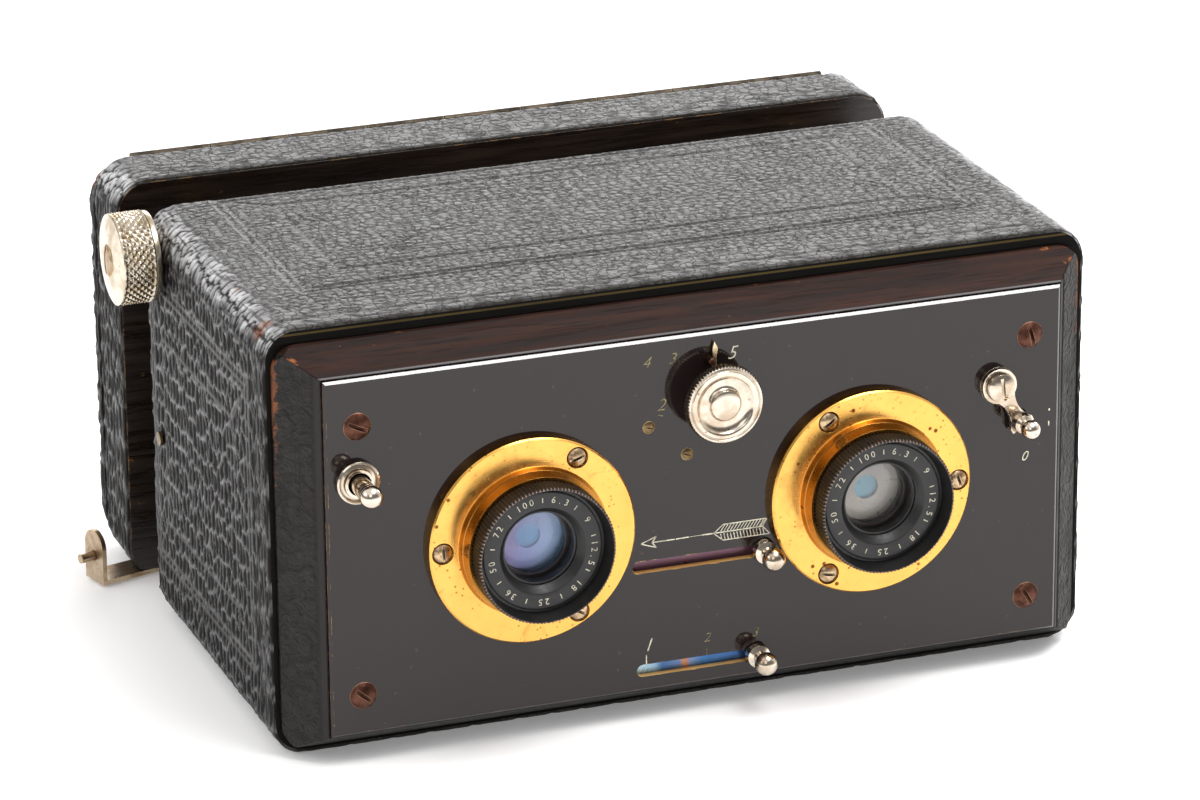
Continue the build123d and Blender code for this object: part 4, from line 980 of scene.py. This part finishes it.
def skin_relief(x, z, y, s, nx, nz, total, y_range, spec):
    """Depth below the smooth surface, and the wear, the rub with its painted highlight and the painted crease
    shade of each point of a box's skin.

    s is the way round the box and total is all of it; nx and nz are the way out."""
    seed = spec["seed"]
    front_y, rear_y = y_range
    side = step(np.abs(nx), 0.5, 0.95)
    period = round(total / 2.2)
    side_period = round(total / 4.2)
    warp = (drift(s / 4.0, y / 4.0, seed + 11) - 0.5) * 1.3
    grain = pebbles(s * period / total + 0.25 * warp, y / 1.6 + 0.3 * warp, seed, period)
    side_grain = pebbles(s * side_period / total + 0.25 * warp, y / 2.1 + 0.3 * warp, seed + 7, side_period)
    grain = grain * (1 - side) + side_grain * side
    long_period = round(total / 7.5)
    streaks = pebbles(s * long_period / total, y / 1.15 + 0.4 * warp, seed + 3, long_period)
    near_rim = 1 - step(y - front_y, 4.0, 11.0)
    near_rim = np.maximum(near_rim, spec["rear_streaks"] * step(y, rear_y - 5, rear_y - 1))
    border = grain * (1 - near_rim) + streaks * near_rim
    groove = 1 - step(border, 0.0, 0.32)
    sunk = groove * (1 - side) + (1 - groove) * side
    depth = (0.15 + 0.2 * side) * sunk * (0.7 + 0.6 * drift(s / 9.0, y / 9.0, seed + 2))
    depth += 0.05 * (drift(s / 1.3, y / 1.3, seed + 4) - 0.5)
    flat = np.zeros_like(depth)
    for out, place, lines in zip((nz, nx), (x, z), spec.get("lines", ())):
        flat = np.where(np.abs(out) > 0.9, tooling(place, y, *lines), flat)
    depth = depth * (1 - 0.9 * flat) + 0.34 * flat
    corner = np.clip(1 - np.abs(np.abs(nx) - np.abs(nz)) * 1.05, 0, 1)
    short_period = round(total / 3.4)
    folds = pebbles(s * short_period / total, y / 1.9 + 0.5 * warp, seed + 6, short_period)
    pleats = 1 - step(folds, 0.0, 0.38)
    upper = (nz > 0) * corner
    ragged = step(drift(s / 1.6, y / 2.2, seed + 9), 0.25, 0.75)
    depth = depth * (1 - 0.6 * upper) + upper * 0.50 * pleats * (0.5 + 0.5 * ragged)
    front_wear = (1 - step(y - front_y, 2.0, 14.0)) * step(drift(s / 9.0, y / 9.0, seed + 20), 0.3, 0.6)
    wear = 0.50 * corner * step(drift(s / 6.0, y / 6.0, seed + 21), 0.40, 0.8)
    patches = step(drift(s / 4.0, y / 3.0, seed + 22), 0.5, 0.9)
    wear += 1.05 * front_wear * corner + 0.25 * front_wear * patches
    wear += 0.34 * step(drift(s / 7.0, y / 4.0, seed + 23), 0.80, 0.95)
    wear += spec["rear_wear"] * step(y, rear_y - 4, rear_y)
    # Next: the pleat ridges and the raised side ridges, for rubbed wear and a painted highlight; then the
    # sunk grain and the pleat valleys, for painted shade.
    ridge = step(1 - pleats, 0.1, 0.5) * (0.5 + 0.5 * ragged)
    rub = np.clip(upper * 1.5, 0, 1) * ridge * (1 - 0.8 * front_wear) + 0.13 * side * groove * (1 - flat)
    crease_shade = (0.55 + 0.3 * side) * sunk * (1 - flat) * (1 - 0.6 * upper)
    crease_shade += 0.7 * upper * step(pleats, 0.5, 0.9)
    return depth, np.clip(wear, 0, 1), rub, np.clip(crease_shade, 0, 1)


THICKNESS = 0.7


def leather_sleeve(node, part, body, corner, spacing, spec):
    """The skin round the four sides of a box, closed, with its grain raised."""
    low, high = limits(node)
    path = ring_path((high.x - low.x) / 2, (low.z, high.z), corner, spacing)
    path[:, 0] += (low.x + high.x) / 2
    gaps = np.hypot(*(path[:, :2] - np.roll(path[:, :2], 1, axis=0)).T)
    total = sum(gaps)
    gaps[0] = 0
    rows = max(6, round((high.y - low.y - 1.0) / spacing))
    lanes = [(0.35, low.y), (0.12, low.y + 0.1), (0.0, low.y + 0.4)]
    lanes += [(0.0, value) for value in np.linspace(low.y + 0.4, high.y - 0.4, rows + 1)[1:]]
    lanes += [(0.12, high.y - 0.1), (0.35, high.y), (THICKNESS, high.y), (THICKNESS, low.y)]
    drop, lane_y = np.array(lanes).T
    S, Y = np.meshgrid(np.cumsum(gaps), lane_y, indexing="ij")
    X, Z, NX, NZ = (np.repeat(path[:, k : k + 1], len(lanes), 1) for k in range(4))
    depth, wear, rub, crease_shade = skin_relief(X, Z, Y, S, NX, NZ, total, (low.y, high.y), spec)
    inward = drop + np.where(drop > 0.3, 0.0, depth)
    X, Z = X - NX * inward, Z - NZ * inward
    if "bush" in spec:
        reach = np.hypot(X, Y)
        under = (NZ < -0.99) & (reach < spec["bush"])
        edge = under & (reach > spec["bush"] - 0.7)
        X[edge] *= spec["bush"] / reach[edge]
        Y[edge] *= spec["bush"] / reach[edge]
        Z[under & ~edge] = THICKNESS
    if "relief" in spec:
        right_end, top = spec["relief"]
        cut = (X < right_end) & (Z < top)
        Z[cut] = top - 0.03 * np.broadcast_to(drop < THICKNESS, cut.shape)[cut]
    points = np.stack([X, Y, Z], axis=-1).reshape(-1, 3)
    index = np.arange(X.size).reshape(X.shape)
    across, up = np.roll(index, -1, axis=0), np.roll(index, -1, axis=1)
    faces = np.stack([index, across, np.roll(across, -1, axis=1), up], axis=-1).reshape(-1, 4)
    rim = np.zeros_like(wear)
    rim[:, 0] = 1.0
    attributes = {"wear": wear.ravel(), "rub": rub.ravel(), "crease_shade": crease_shade.ravel(), "rim": rim.ravel()}
    new_piece(node + "_grained", points, faces, (part + "_grain", "leather"), body, [node], 60.0, attributes)


# Each set of lines is an outer, an inner and an edge rectangle, in X or Z and in Y. bush is the
# radius of the hole round the tripod bush; relief is the right end and top of the cut for the latch.
TOP_LINES = (((-64.2, 64.2), (-18.6, 34.2)), ((-55.0, 55.0), (-10.0, 28.0)), ((-73.0, 73.0), (-32.5, 60.0)))
SIDE_LINES = (((13.0, 66.6), (-25.5, 34.0)), ((21.0, 56.8), (-16.6, 27.3)), ((3.6, 73.6), (-33.0, 60.0)))
BODY_SKIN = {"seed": 1, "lines": (TOP_LINES, SIDE_LINES), "rear_streaks": 0.0, "rear_wear": 0.1, "bush": 9.5}
BACK_SKIN = {"seed": 7, "rear_streaks": 0.6, "rear_wear": 0.25, "relief": (-54.0, 1.6)}
leather_sleeve("body_leather", "body", "body", 6.0, 0.45, BODY_SKIN)
leather_sleeve("back_leather", "back", "focusing_back", 6.5, 0.5, BACK_SKIN)


def leather_tray(node, part, body, corner, spacing, spec):
    """The skin round the rim and over the rear face of the door, closed, with its grain raised."""
    low, high = limits(node)
    half = (high.x - low.x) / 2
    bend = 1.0
    ends = max(3, round(corner / spacing))

    def grid(inset_by):
        """Points over the outline drawn in by an amount, as arrays of X and Z."""
        lines = []
        for start, stop in ((-half, half), (low.z, high.z)):
            main = round((stop - start - 2 * corner) / spacing)
            a = np.linspace(start + inset_by, start + corner, ends + 1)
            m = np.linspace(start + corner, stop - corner, main + 1)
            b = np.linspace(stop - corner, stop - inset_by, ends + 1)
            lines.append(np.concatenate([a, m[1:-1], b]))
        gx, gz = np.meshgrid(*lines, indexing="ij")
        reach = corner - inset_by
        cx, cz = np.clip(gx, -half + corner, half - corner), np.clip(gz, low.z + corner, high.z - corner)
        a, b = (gx - cx) / reach, (gz - cz) / reach
        size = np.maximum(np.hypot(a, b), 1e-9)
        scale = np.where((a != 0) & (b != 0), np.maximum(np.abs(a), np.abs(b)) / size, 1.0)
        return cx + a * scale * reach, cz + b * scale * reach

    def border(array):
        return np.concatenate([array[:-1, 0], array[-1, :-1], array[:0:-1, -1], array[0, :0:-1]])

    gx, gz = grid(bend)
    inner = np.arange(gx.size).reshape(gx.shape)
    ox, oz = (border(a) for a in grid(0.0))
    out = np.stack([ox - border(gx), oz - border(gz)], axis=1)
    out /= np.linalg.norm(out, axis=1)[:, None]
    s = np.concatenate([[0.0], np.cumsum(np.hypot(np.diff(ox), np.diff(oz)))])
    total = s[-1] + math.hypot(ox[0] - ox[-1], oz[0] - oz[-1])
    rows = max(4, round((high.y - low.y - bend) / spacing))
    lanes = [(0.30, low.y), (0.0, low.y + 0.3)]
    lanes += [(0.0, v) for v in np.linspace(low.y + 0.3, high.y - bend, rows + 1)[1:]]
    for t in (math.radians(30), math.radians(60)):
        lanes.append((bend * (1 - math.cos(t)), high.y - bend * (1 - math.sin(t))))
    drop, lane_y = np.array(lanes).T
    S, Y = np.meshgrid(s, lane_y, indexing="ij")
    NX, NZ = np.repeat(out[:, :1], len(lanes), 1), np.repeat(out[:, 1:], len(lanes), 1)
    X, Z = ox[:, None] - NX * drop, oz[:, None] - NZ * drop
    depth, wear, rub, crease_shade = skin_relief(X, Z, Y, S, NX, NZ, total, (low.y, high.y), spec)
    depth[:, 0] = 0
    rim_points = np.stack([X - NX * depth, Y, Z - NZ * depth], axis=-1)
    grain = pebbles(gx / 2.2 + 200, gz / 2.0, spec["seed"] + 1, 10000)
    groove = 1 - step(grain, 0.0, 0.46)
    flat = tooling(gx, gz, *spec["face_lines"])
    face_depth = 0.36 * groove * (1 - 0.9 * flat) + 0.34 * flat
    face_points = np.stack([gx, high.y - face_depth, gz], axis=-1).reshape(-1, 3)
    face_wear = 0.42 * step(drift(gx / 6.0, gz / 6.0, 31), 0.75, 0.95)
    off_middle = np.abs(gz - (low.z + high.z) / 2) / (high.z - low.z) * 2
    face_wear += 0.5 * step(np.maximum(np.abs(gx) / half, off_middle), 0.96, 1.0)
    back = face_points.copy()
    back[:, 1] = high.y - THICKNESS
    back_border = border(inner)
    back[back_border, ::2] += out * (THICKNESS - bend)
    front_x, front_z = (np.stack([ox, oz], axis=1) - out * THICKNESS).T
    front_rim = np.stack([front_x, np.full(len(ox), low.y), front_z], axis=-1)
    face_start = X.size
    back_start = face_start + len(face_points)
    front_start = back_start + len(back)
    points = np.concatenate([rim_points.reshape(-1, 3), face_points, back, front_rim])
    points[:, 0] += (low.x + high.x) / 2
    rim_columns = np.arange(face_start).reshape(X.shape).T
    columns = [front_start + np.arange(len(ox)), *rim_columns, face_start + back_border]
    faces = []
    for near, far in [*zip(columns, columns[1:]), (back_start + back_border, columns[0])]:
        faces.append(np.stack([near, np.roll(near, -1), np.roll(far, -1), far], axis=-1))
    quads = np.stack([inner[:-1, :-1], inner[1:, :-1], inner[1:, 1:], inner[:-1, 1:]], axis=-1).reshape(-1, 4)
    faces += [quads + face_start, quads[:, ::-1] + back_start]
    pad = np.zeros(len(back) + len(front_rim))
    attributes = {
        "wear": np.concatenate([wear.ravel(), face_wear.ravel(), pad]),
        "rub": np.concatenate([rub.ravel(), np.zeros(len(face_points)), pad]),
        "crease_shade": np.concatenate([crease_shade.ravel(), (groove * (1 - flat)).ravel(), pad]),
        "rim": np.zeros(len(points)),
    }
    faces = np.concatenate(faces)
    new_piece(node + "_grained", points, faces, (part + "_grain", "leather"), body, [node], 60.0, attributes)


DOOR_LINES = (((-64.0, 64.0), (14.0, 66.0)), ((-55.0, 55.0), (22.0, 58.0)), ((-73.5, 73.5), (6.0, 74.0)))
DOOR_SKIN = {"seed": 13, "rear_streaks": 0.3, "rear_wear": 0.3, "face_lines": DOOR_LINES}
leather_tray("door_leather", "door", "rear_door", 6.5, 0.6, DOOR_SKIN)


# Camera, floor and light -----------------------------------------------------------------

AZIMUTH, ELEVATION, ROLL = map(math.radians, (-20.05, 20.46, -0.52))
CAMERA_PLACE = (-0.3479, -0.9469, 0.4204)
right = Vector((math.cos(AZIMUTH), math.sin(AZIMUTH), 0))
level = Vector((-math.sin(AZIMUTH), math.cos(AZIMUTH), 0))
forward = level * math.cos(ELEVATION) - Vector((0, 0, math.sin(ELEVATION)))
up = right.cross(forward)
rolled_right = right * math.cos(ROLL) + up * math.sin(ROLL)
rolled_up = up * math.cos(ROLL) - right * math.sin(ROLL)
camera_data = bpy.data.cameras.new("camera")
camera_data.sensor_width = 36.0
camera_data.lens = 176.1
camera_data.clip_end = 20.0
camera = bpy.data.objects.new("camera", camera_data)
turn = Matrix((rolled_right, rolled_up, -forward)).transposed().to_4x4()
camera.matrix_world = Matrix.Translation(CAMERA_PLACE) @ turn
bpy.context.scene.collection.objects.link(camera)
bpy.context.scene.camera = camera


def floor_material():
    """White paper on a faintly lit table."""
    s = Shader("floor_paper")
    fibre = s.noise(900.0, 4.0, 0.6)
    color = s.mix(s.noise(6.0, 2.0), (0.93, 0.93, 0.935), (0.95, 0.95, 0.95))
    grain = s.bump(fibre, 0.03, 0.2)
    return s.finish(color=color, rough=0.9, normal=grain, specular=0.1, glow=color, glow_strength=0.20)


def make_floor():
    work = bmesh.new()
    bmesh.ops.create_grid(work, x_segments=40, y_segments=40, size=4.0)
    mesh = bpy.data.meshes.new("floor")
    work.to_mesh(mesh)
    work.free()
    mesh.materials.append(floor_material())
    floor = bpy.data.objects.new("floor", mesh)
    floor.location = (0.0, 0.0, -0.0001)
    bpy.context.scene.collection.objects.link(floor)


make_floor()
TARGET = (0.0, 0.0, 0.04)


def softbox(name, place, size, power):
    data = bpy.data.lights.new(name, "AREA")
    data.shape = "RECTANGLE"
    data.size, data.size_y = size
    data.energy = power
    light = bpy.data.objects.new(name, data)
    light.location = place
    aim = Vector(TARGET) - Vector(place)
    light.rotation_euler = aim.to_track_quat("-Z", "Y").to_euler()
    bpy.context.scene.collection.objects.link(light)


softbox("overhead", (0.32, -0.30, 1.15), (0.8, 0.6), 10.0)
softbox("behind", (0.85, 1.5, 0.75), (1.8, 0.8), 14.0)
softbox("left_front", (-0.7, -1.3, 1.0), (0.7, 0.7), 2.0)
softbox("left", (-1.4, 0.1, 0.9), (0.8, 0.5), 3.0)
softbox("right", (1.4, 0.5, 0.9), (0.8, 0.5), 6.0)


def make_world():
    """A pale room, darker above the horizon on the side the camera stands."""
    world = bpy.data.worlds.new("studio")
    bpy.context.scene.world = world
    world.use_nodes = True
    s = Shader.__new__(Shader)
    s.tree = world.node_tree
    s.tree.nodes.clear()
    s.place = s.node("TexCoord").outputs["Generated"]
    ahead = s.ramp(s.axis("Y"), -0.15, -0.65)
    above = s.times(s.ramp(s.axis("Z"), 0.02, 0.2), s.ramp(s.axis("Z"), 0.75, 0.6))
    left = s.times(s.ramp(s.axis("X"), -0.05, -0.3), s.ramp(s.axis("Z"), 0.35, 0.15))
    dark = s.times(s.most(s.times(ahead, above), left), 0.8)
    strength = s.less(1.05, dark)
    background = s.node("ShaderNodeBackground", {"Color": (1.0, 0.985, 0.97), "Strength": strength})
    output = s.node("ShaderNodeOutputWorld")
    s.tree.links.new(background.outputs[0], output.inputs[0])


make_world()
bpy.context.scene.view_settings.view_transform = "Standard"
bpy.context.scene.view_settings.look = "None"
